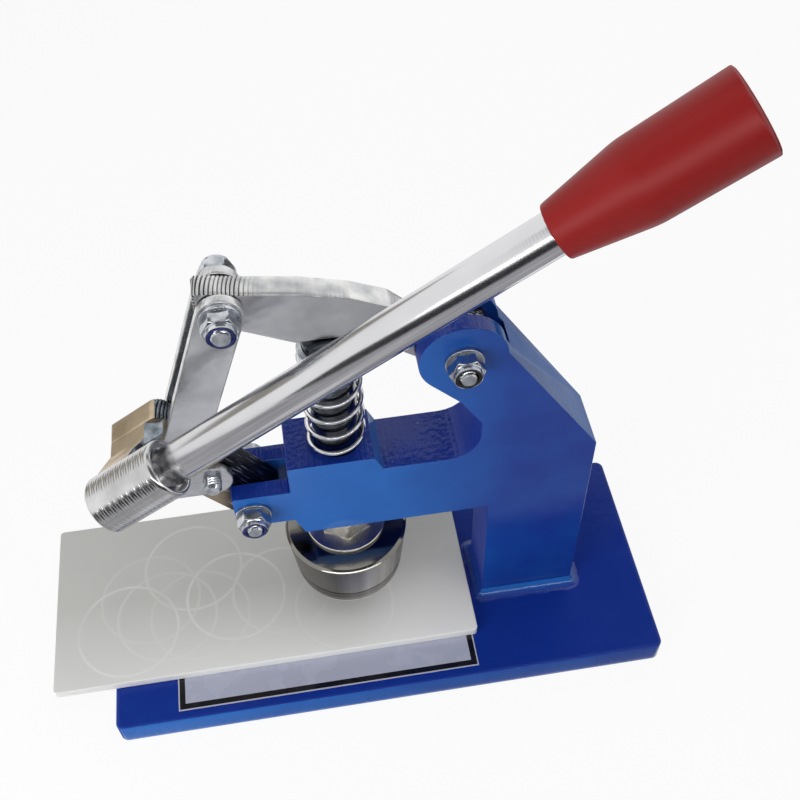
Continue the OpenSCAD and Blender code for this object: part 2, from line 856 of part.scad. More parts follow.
module ejector_pad() {
    color([0.2, 0.2, 0.2])
        translate([ram_x, 0, edge_z + pad_inset])
            cylinder(r = knife_in_r - pad_gap, h = knife_depth - pad_inset);
}

module cutting_board() {
    color([0.78, 0.78, 0.76])
        translate([board_x, board_y, board_z])
            rounded_slab(board_l, board_w, board_corner_r, board_t);
}

base_plate();
label_border();
label_sheet();
frame_block();
foot_weld();
fork_bolt();
fork_washers();
fork_nut();
fork_nut_insert();
ear_bolt();
ear_washers();
ear_nut();
ear_nut_insert();
lever_plate();
hub_stem();
handle_socket();
handle_rod();
handle_grip();
link_near();
link_far();
link_foot_bolt();
link_studs();
link_washers();
link_nuts();
link_nut_inserts();
press_arm();
arm_end_pin();
ram();
spring_cap();
cap_clip();
return_spring();
cutter_nut();
cutter_washer();
cutter_head();
ejector_pad();
cutting_board();
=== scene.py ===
"""Looks of a hand toggle press that cuts round cloth samples, laid out as a Blender add-on."""

import math
from functools import partial
import bmesh
import bpy
import numpy as np
from mathutils import Matrix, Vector
from mathutils.geometry import tessellate_polygon


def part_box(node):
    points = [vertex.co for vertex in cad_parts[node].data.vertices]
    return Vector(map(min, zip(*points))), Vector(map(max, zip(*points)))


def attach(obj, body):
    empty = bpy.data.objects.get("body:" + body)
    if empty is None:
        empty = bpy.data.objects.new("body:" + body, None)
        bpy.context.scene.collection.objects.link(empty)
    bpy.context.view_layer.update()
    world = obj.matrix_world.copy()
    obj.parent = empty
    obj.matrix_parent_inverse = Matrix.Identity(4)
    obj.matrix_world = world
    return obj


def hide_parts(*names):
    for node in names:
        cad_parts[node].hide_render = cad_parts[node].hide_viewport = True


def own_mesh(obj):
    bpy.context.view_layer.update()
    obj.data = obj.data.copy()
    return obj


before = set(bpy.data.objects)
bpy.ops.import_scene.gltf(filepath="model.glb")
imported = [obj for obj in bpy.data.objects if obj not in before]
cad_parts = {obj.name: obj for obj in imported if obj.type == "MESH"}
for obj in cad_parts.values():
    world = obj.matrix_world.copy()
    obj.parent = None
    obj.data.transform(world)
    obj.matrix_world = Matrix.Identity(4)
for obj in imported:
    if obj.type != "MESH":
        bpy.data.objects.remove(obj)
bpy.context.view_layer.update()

bl_info = {
    "name": "Fabric Sample Cutter",
    "version": (1, 0, 0),
    "blender": (4, 5, 0),
    "location": "View3D > Sidebar > Cutter",
    "description": "Dresses the packed toggle press with worked surfaces and finishes",
    "category": "Object",
}

MM = 0.001
TURN = 2 * math.pi
# Slope of the handle at rest, as in the part's source
SLOPE = math.radians(34.2)
ALONG = np.array([math.cos(SLOPE), 0.0, math.sin(SLOPE)])
RISE = np.array([-math.sin(SLOPE), 0.0, math.cos(SLOPE)])
FRONT = np.array([0.0, -1.0, 0.0])
BACK = np.array([0.0, 1.0, 0.0])
RIGHT = np.array([1.0, 0.0, 0.0])
UPWARD = np.array([0.0, 0.0, 1.0])
# Bolts, washers and lock nuts of size M8
FLATS = 13 * MM
SHANK = 3.98 * MM
BORE = 4.05 * MM
WASHER = 1.6 * MM
# Bore of the knife, its nut and its washer
KNIFE_BORE = 7.05 * MM
# A hexagon's corners are cut at this share of half its flats
CORNER_CUT = 1.17


def linear(code):
    """sRGB hex value as linear red, green and blue with full alpha."""
    value = np.array([int(code[i:i + 2], 16) for i in (1, 3, 5)]) / 255
    bent = ((value + 0.055) / 1.055) ** 2.4
    return (*np.where(value <= 0.04045, value / 12.92, bent).tolist(), 1.0)


def colour_property(label, words, code):
    """A colour that a user can change, its default an sRGB hex value."""
    return bpy.props.FloatVectorProperty(
        name=label, description=words, subtype="COLOR", size=4, min=0, max=1, default=linear(code))


def length_property(label, words, size):
    """A length that a user can change, its default in millimetres."""
    return bpy.props.FloatProperty(
        name=label, description=words, default=size * MM, min=0, precision=5, unit="LENGTH")


class CutterSizes(bpy.types.PropertyGroup):
    """Sizes of the worked detail."""

    paint_edge: length_property("Painted edge", "Rounding of the frame's painted edges", 1.1)
    plate_edge: length_property("Plate edge", "Rounding of the plated plates' edges", 0.45)
    ridge_depth: length_property("Cut ridges", "Depth of the ridges that the torch left", 0.3)
    ridge_pitch: length_property("Ridge pitch", "Distance between two torch ridges", 1.6)
    thread_pitch: length_property("Thread pitch", "Pitch of the bolts' threads", 1.25)
    groove_depth: length_property("Tool grooves", "Depth of the turned grooves of the socket", 0.09)
    weld_ripple: length_property("Weld ripple", "Distance between two ripples of the weld", 2.6)
    mark_width: length_property("Knife mark", "Width of a knife mark on the board", 1.1)


class CutterColours(bpy.types.PropertyGroup):
    """Colours of the finishes."""

    # The level tone is the enamel's deeper tone, laid on as painted shade on level faces, underneath, on the
    # left and along x
    paint_level: colour_property("Paint, level", "Enamel where it lies level and thick", "#12308A")
    paint_upright: colour_property("Paint, upright", "Enamel on upright faces", "#2263B4")
    grip: colour_property("Grip", "Moulded grip", "#8E1110")
    board: colour_property("Board", "Cutting board", "#C9C9C6")
    film: colour_property("Label", "Printed film", "#A9ADC0")
    border: colour_property("Label border", "Printed border of the film", "#0B0B10")
    lock_ring: colour_property("Lock ring", "Nylon ring of most lock nuts", "#17256A")
    floor: colour_property("Floor", "Pale studio floor", "#F2F2F2")


def corners_of(node):
    """All corners of a CAD node as rows of x, y and z."""
    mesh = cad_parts[node].data
    flat = np.empty(len(mesh.vertices) * 3, np.float32)
    mesh.vertices.foreach_get("co", flat)
    return flat.reshape(-1, 3).astype(float)


def reach(node, direction):
    """Least and greatest place of a CAD node along a direction."""
    along = corners_of(node) @ direction
    return along.min(), along.max()


def axes(origin, along, across):
    """Matrix whose Z runs along an axis from the origin and whose X runs across it."""
    place = np.eye(4)
    place[:3, 0] = across
    place[:3, 1] = np.cross(along, across)
    place[:3, 2] = along
    place[:3, 3] = origin
    return place


def aimed(origin, facing):
    """Axes whose Z looks along a direction and whose X stays level."""
    facing = facing / np.linalg.norm(facing)
    across = RIGHT if abs(facing[2]) > 0.99 else np.cross(UPWARD, facing)
    return axes(origin, facing, across / np.linalg.norm(across))


def pivot_place(node, y, along):
    """Axes at a round node's middle line, starting at depth y."""
    low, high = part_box(node)
    return axes([(low.x + high.x) / 2, y, (low.z + high.z) / 2], along, RIGHT)


def upright_place(node):
    """Axes that rise from the middle of a node's underside, and the node's radius and height."""
    low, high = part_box(node)
    origin = [(low.x + high.x) / 2, (low.y + high.y) / 2, low.z]
    return axes(origin, UPWARD, RIGHT), (high.x - low.x) / 2, high.z - low.z


def handle_place(node):
    """Axes on the handle's line, starting at a node's lower end, and the node's length and radius."""
    start, end = reach(node, ALONG)
    side = np.array(reach(node, BACK))
    level = np.array(reach(node, RISE))
    origin = ALONG * start + BACK * side.mean() + RISE * level.mean()
    return axes(origin, ALONG, FRONT), end - start, np.ptp(side) / 2


def grid(points, wrap_rows=False, wrap_columns=False):
    """Cells of a grid of points as quads; a wrapped grid joins its last row or column to its first."""
    rows, columns = points.shape[:2]
    index = np.arange(rows * columns).reshape(rows, columns)
    if wrap_rows:
        index = np.vstack([index, index[:1]])
    if wrap_columns:
        index = np.hstack([index, index[:, :1]])
    quads = np.stack([index[:-1, :-1], index[1:, :-1], index[1:, 1:], index[:-1, 1:]], axis=-1)
    return points.reshape(-1, 3), quads.reshape(-1, 4)


def turned(profile, place, steps=72, shape=None, loop=False):
    """A profile of radius and height carried round an axis: x = r cos a, y = r sin a, z = h.

    shape(r, h, a) may change the radius, as for a hexagon or a thread. A profile end of no radius
    closes in one point, and a looped profile closes on itself as a ring.
    """
    profile = np.asarray(profile, float)
    solid = profile[:, 0] > 1e-9
    rows = profile[solid]
    turn = np.broadcast_to(np.arange(steps) * TURN / steps, (len(rows), steps))
    radius = np.broadcast_to(rows[:, :1], turn.shape)
    height = np.broadcast_to(rows[:, 1:], turn.shape)
    if shape:
        radius = shape(radius, height, turn)
    local = np.stack([radius * np.cos(turn), radius * np.sin(turn), height], axis=-1)
    points, quads = grid(local, wrap_rows=loop, wrap_columns=True)
    faces = [quads]
    ring = np.arange(steps)
    for end, first in ((0, 0), (-1, (len(rows) - 1) * steps)):
        if not solid[end]:
            pole = np.full(steps, len(points))
            faces.append(np.stack([pole, np.roll(ring, -1) + first, ring + first], axis=1))
            points = np.vstack([points, [0, 0, profile[end, 1]]])
    return points @ place[:3, :3].T + place[:3, 3], faces


def hexagon(flats, phase=0.0):
    """Radius of a hexagon by angle: flats / 2 over the cosine from the nearest flat; rounder rows stay."""
    def shape(radius, height, turn):
        from_flat = (turn - phase) % (TURN / 6) - TURN / 12
        return np.where(radius > flats / 2, np.minimum(radius, flats / 2 / np.cos(from_flat)), radius)
    return shape


def threaded(start, end, pitch, inner=None):
    """Thread: between two heights the radius falls by 0.6 pitch along a triangle wave of height less turn."""
    def shape(radius, height, turn):
        if inner:
            radius = inner(radius, height, turn)
        phase = (height / pitch - turn / TURN) % 1
        fade = np.clip((height - start) / pitch, 0, 1) * np.clip((end - height) / (0.4 * pitch), 0, 1)
        return radius - 0.6 * pitch * np.abs(2 * phase - 1) * fade
    return shape


def rounded(radius, low, high, edge, steps=4):
    """Outer side of a turned profile with its two edges rounded: quarter circles at both ends."""
    angle = np.linspace(-math.pi / 2, 0, steps + 1)
    bottom = np.stack([radius - edge + edge * np.cos(angle), low + edge + edge * np.sin(angle)], axis=1)
    top = np.stack([bottom[::-1, 0], low + high - bottom[::-1, 1]], axis=1)
    return np.vstack([bottom, top])


def ring_profile(outer, bore, height, edge):
    """Closed profile of a washer: rounded outside, chamfered bore."""
    inside = [[bore + edge, height], [bore, height - edge], [bore, edge], [bore + edge, 0]]
    return np.vstack([rounded(outer, 0, height, edge), inside])


def corner_cone(start, end):
    """Rows of the 30 degree cone that cuts a hexagon's corners, from one radius out to another."""
    radius = np.linspace(start, end, 7)
    return np.stack([radius, (radius - start) * math.tan(math.radians(30))], axis=1)


def nut_profile(flats, bore, height, crown=None):
    """Closed profile of a nut, its corners cut by cones; a crown is a collar's radius, top and seat."""
    chamfer = 0.5 * MM
    cone = corner_cone(flats / 2, flats / 2 * CORNER_CUT)
    rows = [[bore, chamfer], [bore + chamfer, 0], *cone.tolist()]
    rows += np.stack([cone[::-1, 0], height - cone[::-1, 1]], axis=1).tolist()
    if crown:
        radius, top, seat = crown
        rows += [[radius + 0.3 * MM, height], [radius, height + 0.3 * MM]]
        rows += [[radius, top - 0.6 * MM], [radius - 0.2 * MM, top - 0.15 * MM], [radius - 0.5 * MM, top]]
        rows += [[seat, top - 0.2 * MM], [seat, height], [bore, height]]
    else:
        rows += [[bore + chamfer, height], [bore, height - chamfer]]
    return rows


def shank_profile(radius, start, length, pitch, tip):
    """Shank from its start to its cut tip, with rows fine enough for a thread."""
    body = np.arange(start, length - tip, pitch / 8)
    rows = np.stack([np.full(len(body), radius), body], axis=1).tolist()
    return rows + [[radius, length - tip], [radius - 0.9 * tip, length], [0, length]]


def slab(low, high, corner, edge):
    """Flat block: a rectangle with round corners carried up a profile whose two edges are quarter circles."""
    angle = np.linspace(0, TURN / 4, 9)
    middle = (np.array(low[:2]) + np.array(high[:2])) / 2
    half = (np.array(high[:2]) - np.array(low[:2])) / 2
    quarter = np.arange(4).repeat(len(angle))
    turn = np.tile(angle, 4) + quarter * TURN / 4
    sign = np.stack([np.where((quarter == 0) | (quarter == 3), 1, -1), np.where(quarter < 2, 1, -1)], axis=1)
    spread = np.stack([np.cos(turn), np.sin(turn)], axis=1)
    side = rounded(corner, low[2], high[2], edge)
    rim = np.vstack([[[corner - 2 * edge, low[2]]], side, [[corner - 2 * edge, high[2]]]])
    flat = middle + sign * (half - corner) + spread * rim[:, None, :1]
    tall = np.broadcast_to(rim[:, None, 1:], (*flat.shape[:2], 1))
    points, quads = grid(np.concatenate([flat, tall], axis=2), wrap_columns=True)
    count = len(turn)
    caps = np.array([np.arange(count)[::-1], np.arange(count) + (len(rim) - 1) * count])
    return points, [quads, caps]


def outlines(node):
    """Closed outlines of a plate's near face as x and z: the edges that one triangle of it has alone."""
    micron = 0.001 * MM
    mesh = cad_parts[node].data
    whole, group = np.unique(np.round(corners_of(node) / micron), axis=0, return_inverse=True)
    loop = np.empty(len(mesh.loops), np.int32)
    mesh.loops.foreach_get("vertex_index", loop)
    triangle = group.reshape(-1)[loop].reshape(-1, 3)
    depth = whole[:, 1]
    triangle = triangle[(depth[triangle] == depth.min()).all(axis=1)]
    edge = np.vstack([triangle[:, [0, 1]], triangle[:, [1, 2]], triangle[:, [2, 0]]])
    code = edge[:, 0] * len(whole) + edge[:, 1]
    lone = edge[~np.isin(code, edge[:, 1] * len(whole) + edge[:, 0])]
    follows = dict(lone.tolist())
    found = []
    while follows:
        chain = [next(iter(follows))]
        while chain[-1] in follows:
            chain.append(follows.pop(chain[-1]))
        found.append(whole[chain[:-1]][:, [0, 2]] * micron)
    return sorted(found, key=lambda ring: -np.ptp(ring, axis=0).sum())


def even(ring, step, blur):
    """An outline in even steps, counter-clockwise, its corners blurred, with its outward normals and way."""
    following = np.roll(ring, -1, axis=0)
    if (ring[:, 0] * following[:, 1] - following[:, 0] * ring[:, 1]).sum() < 0:
        ring = ring[::-1]
    closed = np.vstack([ring, ring[:1]])
    length = np.concatenate([[0], np.cumsum(np.hypot(*np.diff(closed, axis=0).T))])
    count = int(round(length[-1] / step))
    place = np.arange(count) * length[-1] / count
    points = np.stack([np.interp(place, length, side) for side in closed.T], axis=1)
    for _ in range(blur):
        points = (np.roll(points, 1, axis=0) + 2 * points + np.roll(points, -1, axis=0)) / 4
    run = np.roll(points, -1, axis=0) - np.roll(points, 1, axis=0)
    normal = np.stack([run[:, 1], -run[:, 0]], axis=1) / np.hypot(run[:, 0], run[:, 1])[:, None]
    return points, normal, place


def plate(node, sizes, strength, seed):
    """A flame-cut plate: its CAD outline carried across its thickness with rounded edges.

    Each edge point moves in by the ridge depth times the square of 0.5 - 0.5 sin(2 pi (s + lag) / pitch),
    where s is the way along the outline and lag grows towards the back, as the torch's ridges do.
    strength(rim, normal) says where the ridges are deep. The faces are filled round the pivot holes.
    """
    low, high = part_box(node)
    rings = outlines(node)
    rim, normal, way = even(rings[0], step=0.22 * MM, blur=8)
    edge = sizes.plate_edge
    angle = np.linspace(0, TURN / 4, 4)
    near = np.stack([edge - edge * np.sin(angle), low.y + edge - edge * np.cos(angle)], axis=1)
    flat = np.linspace(low.y + edge, high.y - edge, 7)[1:-1]
    body = np.stack([np.zeros(len(flat)), flat], axis=1)
    far = np.stack([near[::-1, 0], low.y + high.y - near[::-1, 1]], axis=1)
    inner = 1.7 * edge
    rows = np.vstack([[[inner, low.y]], near, body, far, [[inner, high.y]]])
    chance = np.random.default_rng(seed)
    spacing = 7 * MM
    marks = np.arange(0, way[-1] + 2 * spacing, spacing)
    drift = np.interp(way, marks, chance.uniform(-1.3, 1.3, len(marks)))
    heavy = np.interp(way, marks, chance.uniform(0.35, 1.0, len(marks)))
    lag = 1.6 * MM * ((rows[:, 1] - low.y) / (high.y - low.y)) ** 2
    phase = TURN * (way[:, None] + lag) / sizes.ridge_pitch + drift[:, None]
    deep = sizes.ridge_depth * (0.5 - 0.5 * np.sin(phase)) ** 2 * (heavy * strength(rim, normal))[:, None]
    inset = rows[:, 0] + np.where(rows[:, 0] < 1.2 * edge, deep, 0)
    groove = ((inset - rows[:, 0]) / sizes.ridge_depth).reshape(-1)
    flat_points = rim[:, None] - normal[:, None] * inset[..., None]
    depth = np.broadcast_to(rows[:, 1], inset.shape)
    surface = np.stack([flat_points[..., 0], depth, flat_points[..., 1]], axis=-1)
    points, quads = grid(surface, wrap_rows=True)
    front = [np.arange(len(rim)) * len(rows)]
    rear = [front[0] + len(rows) - 1]
    walls = []
    for hole in rings[1:]:
        ring = even(hole, step=0.5 * MM, blur=0)[0]
        both = np.stack([np.insert(ring, 1, low.y, axis=1), np.insert(ring, 1, high.y, axis=1)], axis=1)
        wall, cells = grid(both, wrap_rows=True)
        walls.append(cells + len(points))
        front.append(np.arange(len(ring)) * 2 + len(points))
        rear.append(front[-1] + 1)
        points = np.vstack([points, wall])
        groove = np.concatenate([groove, np.zeros(len(wall))])
    fill = np.array(tessellate_polygon([points[ring].tolist() for ring in front]))
    caps = [np.concatenate(front)[fill], np.concatenate(rear)[fill]]
    return points, quads.reshape(len(rim), -1, 4), walls, caps, groove, rim, normal


def zinc_plate(name, node, sizes, strength, seed, body):
    """A flame-cut plate whose faces are smooth zinc plate and whose edges show the torch's ridges."""
    points, cells, walls, caps, groove, *_ = plate(node, sizes, strength, seed)
    finishes = [metal("zinc_plated_plate"), metal("torch_cut_edge")]
    piece(name, [(points, caps, [cells, *walls])], finishes, body, node, groove=groove)


def show(name, data):
    """An object for a mesh, lamp or camera, linked to the scene."""
    made = bpy.data.objects.new(name, data)
    bpy.context.scene.collection.objects.link(made)
    return made


def piece(name, parts, finishes, body, node, crease=38, groove=None):
    """One object from closed surfaces: each part is its points and, for each finish in turn, groups of faces.

    Groove, the depth of the torch's ridges at each corner, goes along as an attribute for the finish.
    """
    points = []
    faces = []
    numbers = []
    start = 0
    for corners, *sets in parts:
        points.append(corners)
        for number, groups in enumerate(sets):
            for group in groups:
                cells = group.reshape(-1, group.shape[-1]) + start
                faces += cells.tolist()
                numbers += [number] * len(cells)
        start += len(corners)
    mesh = bpy.data.meshes.new(name)
    mesh.from_pydata(np.vstack(points).tolist(), [], faces)
    for made in finishes:
        mesh.materials.append(made)
    mesh.polygons.foreach_set("material_index", numbers)
    if groove is not None:
        mesh.attributes.new("groove", "FLOAT", "POINT").data.foreach_set("value", groove)
    return settle(name, mesh, body, node, crease)


def settle(name, mesh, body, node, crease):
    """Turns a mesh's faces outwards, shades it smooth up to its creases, and puts it on its body."""
    work = bmesh.new()
    work.from_mesh(mesh)
    bmesh.ops.recalc_face_normals(work, faces=work.faces)
    work.to_mesh(mesh)
    work.free()
    mesh.polygons.foreach_set("use_smooth", np.ones(len(mesh.polygons), bool))
    mesh.set_sharp_from_angle(angle=math.radians(crease))
    made = show(name, mesh)
    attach(made, body)
    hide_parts(node)
    return made


def softened(name, node, finish, edge, body):
    """A node's own solid, merged into whole faces, with its sharp edges rounded by a bevel."""
    sharp = 30
    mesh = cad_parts[node].data.copy()
    mesh.name = name
    mesh.materials.clear()
    mesh.materials.append(finish)
    work = bmesh.new()
    work.from_mesh(mesh)
    bmesh.ops.remove_doubles(work, verts=work.verts, dist=0.001 * MM)
    bmesh.ops.dissolve_limit(work, angle_limit=math.radians(0.5), verts=work.verts, edges=work.edges)
    work.to_mesh(mesh)
    work.free()
    made = settle(name, mesh, body, node, sharp)
    bevel = made.modifiers.new("Rounded edges", "BEVEL")
    bevel.width = edge
    bevel.segments = 3
    bevel.limit_method = "ANGLE"
    bevel.angle_limit = math.radians(sharp)
    bevel.harden_normals = True
    return made


def coat(node, finish):
    """Gives a carried-over CAD node its finish."""
    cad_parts[node].data.materials.clear()
    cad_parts[node].data.materials.append(finish)


def add(tree, kind, sockets=None, **settings):
    """Adds one shader node with its settings, and sets or links its inputs by name or number.

    A node given as a value is linked from its first output in use. By number, Map Range has its value at 0,
    from at 1 and 2, to at 3 and 4, and Mix has its share at 0 and its colours at 6 and 7.
    """
    made = tree.nodes.new("ShaderNode" + kind)
    for key, value in settings.items():
        setattr(made, key, value)
    for key, value in (sockets or {}).items():
        if isinstance(value, bpy.types.Node):
            value = next(socket for socket in value.outputs if socket.enabled)
        if isinstance(value, bpy.types.NodeSocket):
            tree.links.new(value, made.inputs[key])
        else:
            made.inputs[key].default_value = value
    return made


def begin(name):
    """A new material without nodes, add for its tree, and the outputs of its texture coordinates."""
    made = bpy.data.materials.new(name)
    made.use_nodes = True
    made.node_tree.nodes.clear()
    put = partial(add, made.node_tree)
    return made, put, put("TexCoord").outputs


def complete(made, put, sockets):
    """Ends a material with one Principled shader; plain values go straight on the shader's own sockets."""
    put("OutputMaterial", {"Surface": put("BsdfPrincipled", sockets)})
    return made


def dimmed(colour, share):
    """A colour with its three channels times a share."""
    return tuple(channel * share for channel in colour[:3]) + (1.0,)


def blue_enamel(name, colours, lay, shadowed, lumps, shine=0.38):
    """Gloss enamel brushed over rough cut steel.

    Its deeper tone is painted shade on level faces, underneath and on the left, and painted shade that grows
    from the first to the second place along x, in millimetres, less on faces turned to the right; a slow
    random mottle varies it too. Cut lines along the lay axis show through on the cut faces, about 1.4 mm
    apart, and brush marks and orange peel break the reflections.
    """
    made, put, coords = begin(name)
    place = coords["Object"]
    facing = put("SeparateXYZ", {0: coords["Normal"]}).outputs
    # Facing masks: the deep tone laid on level faces, underneath and on faces turned left is painted shade
    level = put("MapRange", {0: facing["Z"], 1: 0.58, 2: 0.98})
    under = put("MapRange", {0: facing["Z"], 1: -0.58, 2: -0.98})
    ground = put("MapRange", {0: facing["X"], 1: 0.3, 2: 0.7, 3: 1.0, 4: 0.15})
    shaded = put("MapRange", {0: facing["X"], 1: -0.3, 2: -0.7, 3: 0.0, 4: 0.8})
    sag = put("TexNoise", {"Vector": place, "Scale": 1 / (22 * MM), "Detail": 3.0})
    deep = put("Math", {0: sag, 1: 0.6, 2: -0.3}, operation="MULTIPLY_ADD")
    where = put("SeparateXYZ", {0: place}).outputs
    # Painted shade that deepens along x between the two given places, weaker on faces turned to the right
    shade_along_x = put("MapRange", {0: where["X"], 1: shadowed[0] * MM, 2: shadowed[1] * MM, 4: 0.85})
    shade_under_and_left = put("Math", {0: under, 1: shaded}, operation="MAXIMUM")
    flat = put("Math", {0: level, 1: shade_under_and_left}, operation="MAXIMUM")
    painted_shade = put("Math", {0: shade_along_x, 1: ground, 2: flat}, operation="MULTIPLY_ADD")
    shade_and_mottle = put("Math", {0: painted_shade, 1: deep}, operation="ADD", use_clamp=True)
    # The deep paint tone mixed in here is painted shade, plus a slow random mottle
    tone = put("Mix", {0: shade_and_mottle, 6: colours.paint_upright, 7: colours.paint_level}, data_type="RGBA")
    speck = put("TexVoronoi", {"Vector": place, "Scale": 1 / (26 * MM)})
    chip = put("MapRange", {0: speck, 1: 0.022, 2: 0.012, 4: level})
    worn = put("Mix", {0: chip, 6: tone, 7: linear("#8FA6CC")}, data_type="RGBA")
    peel = put("TexNoise", {"Vector": place, "Scale": 1 / (2.2 * MM), "Detail": 2.0})
    gloss = put("MapRange", {0: sag, 1: 0.3, 2: 0.7, 3: 0.12, 4: 0.22})
    matt = put("Math", {0: shaded, 1: 0.5, 2: gloss}, operation="MULTIPLY_ADD")
    scale = [1 / (1.4 * MM)] * 3
    scale[lay] = 1 / (40 * MM)
    drawn = put("Mapping", {"Vector": place, "Scale": scale})
    lines = put("TexNoise", {"Vector": drawn, "Scale": 1.0, "Detail": 1.5})
    end_on = put("Math", {0: facing[lay]}, operation="ABSOLUTE")
    cut = put("MapRange", {0: end_on, 1: 0.2, 2: 0.6, 3: 1.0, 4: 0.0})
    worn_cut = put("Math", {0: ground, 1: cut}, operation="MULTIPLY")
    shown = put("Math", {0: lines, 1: worn_cut}, operation="MULTIPLY")
    coarse = put("Bump", {"Strength": 0.3 + 2 * lumps, "Distance": 0.6 * MM, "Height": shown})
    wavy = put("Bump", {"Strength": 0.2, "Distance": 1.2 * MM, "Height": sag, "Normal": coarse})
    brushed = put("MapRange", {0: level, 3: 0.7 * lumps, 4: 3 * lumps})
    skin = put("Bump", {"Strength": brushed, "Distance": 0.4 * MM, "Height": peel, "Normal": wavy})
    return complete(made, put, {"Base Color": worn, "Metallic": 0.0, "Roughness": matt, "IOR": 1.5,
                                "Specular IOR Level": shine, "Normal": skin})


def worked_steel(name, bright, dull, roughness, spread, cloud, dent, grain, depth, shade_span=None, ridged=False):
    """Steel with a bright or plated skin: clouds of brighter and duller metal, dents that bend reflections,
    and a fine grain whose three spacings follow the way it was worked. Where two places along x are given,
    painted shade sets in between them and stays beyond, with pale streaks along the lever that are scratches
    and painted highlights both; ridged metal gets painted shade in its grooves. Sizes in millimetres."""
    made, put, coords = begin(name)
    place = coords["Object"]
    haze = put("TexNoise", {"Vector": place, "Scale": 1 / (cloud * MM), "Detail": 3.0})
    share = put("MapRange", {0: haze, 1: 0.32, 2: 0.68})
    tone = put("Mix", {0: share, 6: linear(bright), 7: linear(dull)}, data_type="RGBA")
    # Painted shade from the given places along x on, with pale streaks that are scratches and painted
    # highlights both
    if shade_span:
        along = put("SeparateXYZ", {0: place}).outputs["X"]
        in_shade = put("MapRange", {0: along, 1: shade_span[0] * MM, 2: shade_span[1] * MM})
        rubbed_and_lit = put("Mapping", {"Vector": place, "Rotation": (0, -SLOPE, 0),
                                 "Scale": (0.8 * MM, 0.8 * MM, 11 * MM)}, vector_type="TEXTURE")
        streaks = put("TexNoise", {"Vector": rubbed_and_lit, "Scale": 1.0, "Detail": 1.0})
        pale_streak = put("MapRange", {0: streaks, 1: 0.62, 2: 0.7, 4: 0.8})
        shade_streaked = put("Mix", {0: pale_streak, 6: linear("#2A2C32"), 7: linear("#D2D4D6")}, data_type="RGBA")
        tone = put("Mix", {0: in_shade, 6: tone, 7: shade_streaked}, data_type="RGBA")
    # Painted shade in the grooves between the torch ridges
    if ridged:
        groove = put("Attribute", attribute_name="groove").outputs["Fac"]
        groove_shade = put("MapRange", {0: groove, 1: 0.2, 2: 0.7, 4: 0.95})
        tone = put("Mix", {0: groove_shade, 6: tone, 7: linear("#18191B")}, data_type="RGBA")
    gloss = put("MapRange", {0: haze, 1: 0.3, 2: 0.7, 3: roughness - spread, 4: roughness + spread})
    worked = put("Mapping", {"Vector": place, "Scale": [1 / (size * MM) for size in grain]})
    lines = put("TexNoise", {"Vector": worked, "Scale": 1.0, "Detail": 2.0})
    soft = put("Bump", {"Strength": 0.5, "Distance": dent * MM, "Height": haze})
    skin = put("Bump", {"Strength": 0.4, "Distance": depth * MM, "Height": lines, "Normal": soft})
    return complete(made, put, {"Base Color": tone, "Metallic": 1.0, "Roughness": gloss, "Normal": skin})


# Metals by name: bright and dull tone, roughness and its spread, cloud size, dent depth, grain, grain depth,
# and for some the places along x where painted shade sets in and whether the torch ridges' grooves get
# painted shade
METALS = {
    # Bright zinc plate on pressed nuts and washers: cool and a little milky
    "zinc_plated_nuts": ("#D5D8DC", "#A9AEB6", 0.2, 0.08, 5.0, 0.05, (1.0, 1.0, 1.0), 0.02),
    # Zinc plate on the ram's large nut and washer: brighter and smoother
    "zinc_plated_large_nut": ("#F6F3EC", "#DAD7D0", 0.24, 0.04, 9.0, 0.02, (1.0, 1.0, 1.0), 0.004),
    # Zinc plate on rolled plate: satin with slow cloudy reflections
    "zinc_plated_plate": ("#E2E3E6", "#C6C7CB", 0.22, 0.08, 24.0, 1.2, (2.5, 1.2, 6.0), 0.03),
    # Torch-cut edge under zinc plate: duller than the rolled face, with painted shade between the ears
    "torch_cut_edge": ("#EEEEEC", "#C4C5C8", 0.32, 0.06, 7.0, 0.06, (0.9, 5.0, 0.9), 0.05, (28, 36), True),
    # Lever's shoulder: torch cut left bare, blue-grey scale, with painted shade in the grooves between its
    # ridges
    "torch_cut_shoulder": ("#B4BCC4", "#5E6872", 0.24, 0.06, 5.0, 0.3, (0.9, 5.0, 0.9), 0.08, None, True),
    # Lever and hub stem: ground steel whose warm tan tone is a painted reflection, with painted shade in the
    # fork
    "ground_steel_warm_reflection": ("#D4C2A8", "#AE9C82", 0.36, 0.06, 12.0, 0.1, (0.8, 6.0, 0.8), 0.04, (-70, -63)),
    # Turned socket: bright lathe-cut steel
    "lathe_turned_steel": ("#DCDCDC", "#C0C0C0", 0.22, 0.05, 14.0, 0.02, (1.2, 1.2, 1.2), 0.03),
    # Chromium plate on a polished rod: almost a mirror
    "chromium_plate": ("#E2E2E4", "#D2D2D5", 0.17, 0.03, 40.0, 0.03, (3.0, 3.0, 3.0), 0.004),
    # Ram: polished steel, its tone darkened as a painted reflection of the dark room it mirrors
    "polished_ram_steel": ("#62666C", "#464A50", 0.16, 0.04, 18.0, 0.05, (3.0, 3.0, 3.0), 0.01),
    # Cutter top: polished steel, its tone darkened as a painted reflection of the frame's dark underside
    "polished_tool_steel": ("#86847E", "#6C6A66", 0.13, 0.03, 18.0, 0.03, (3.0, 3.0, 3.0), 0.004),
    # Music wire with a bright plate
    "plated_spring_wire": ("#F2F2F4", "#DADADE", 0.12, 0.04, 8.0, 0.03, (1.0, 1.0, 1.0), 0.01),
}


def metal(name):
    """The named metal, made when it is first asked for."""
    return bpy.data.materials.get(name) or worked_steel(name, *METALS[name])


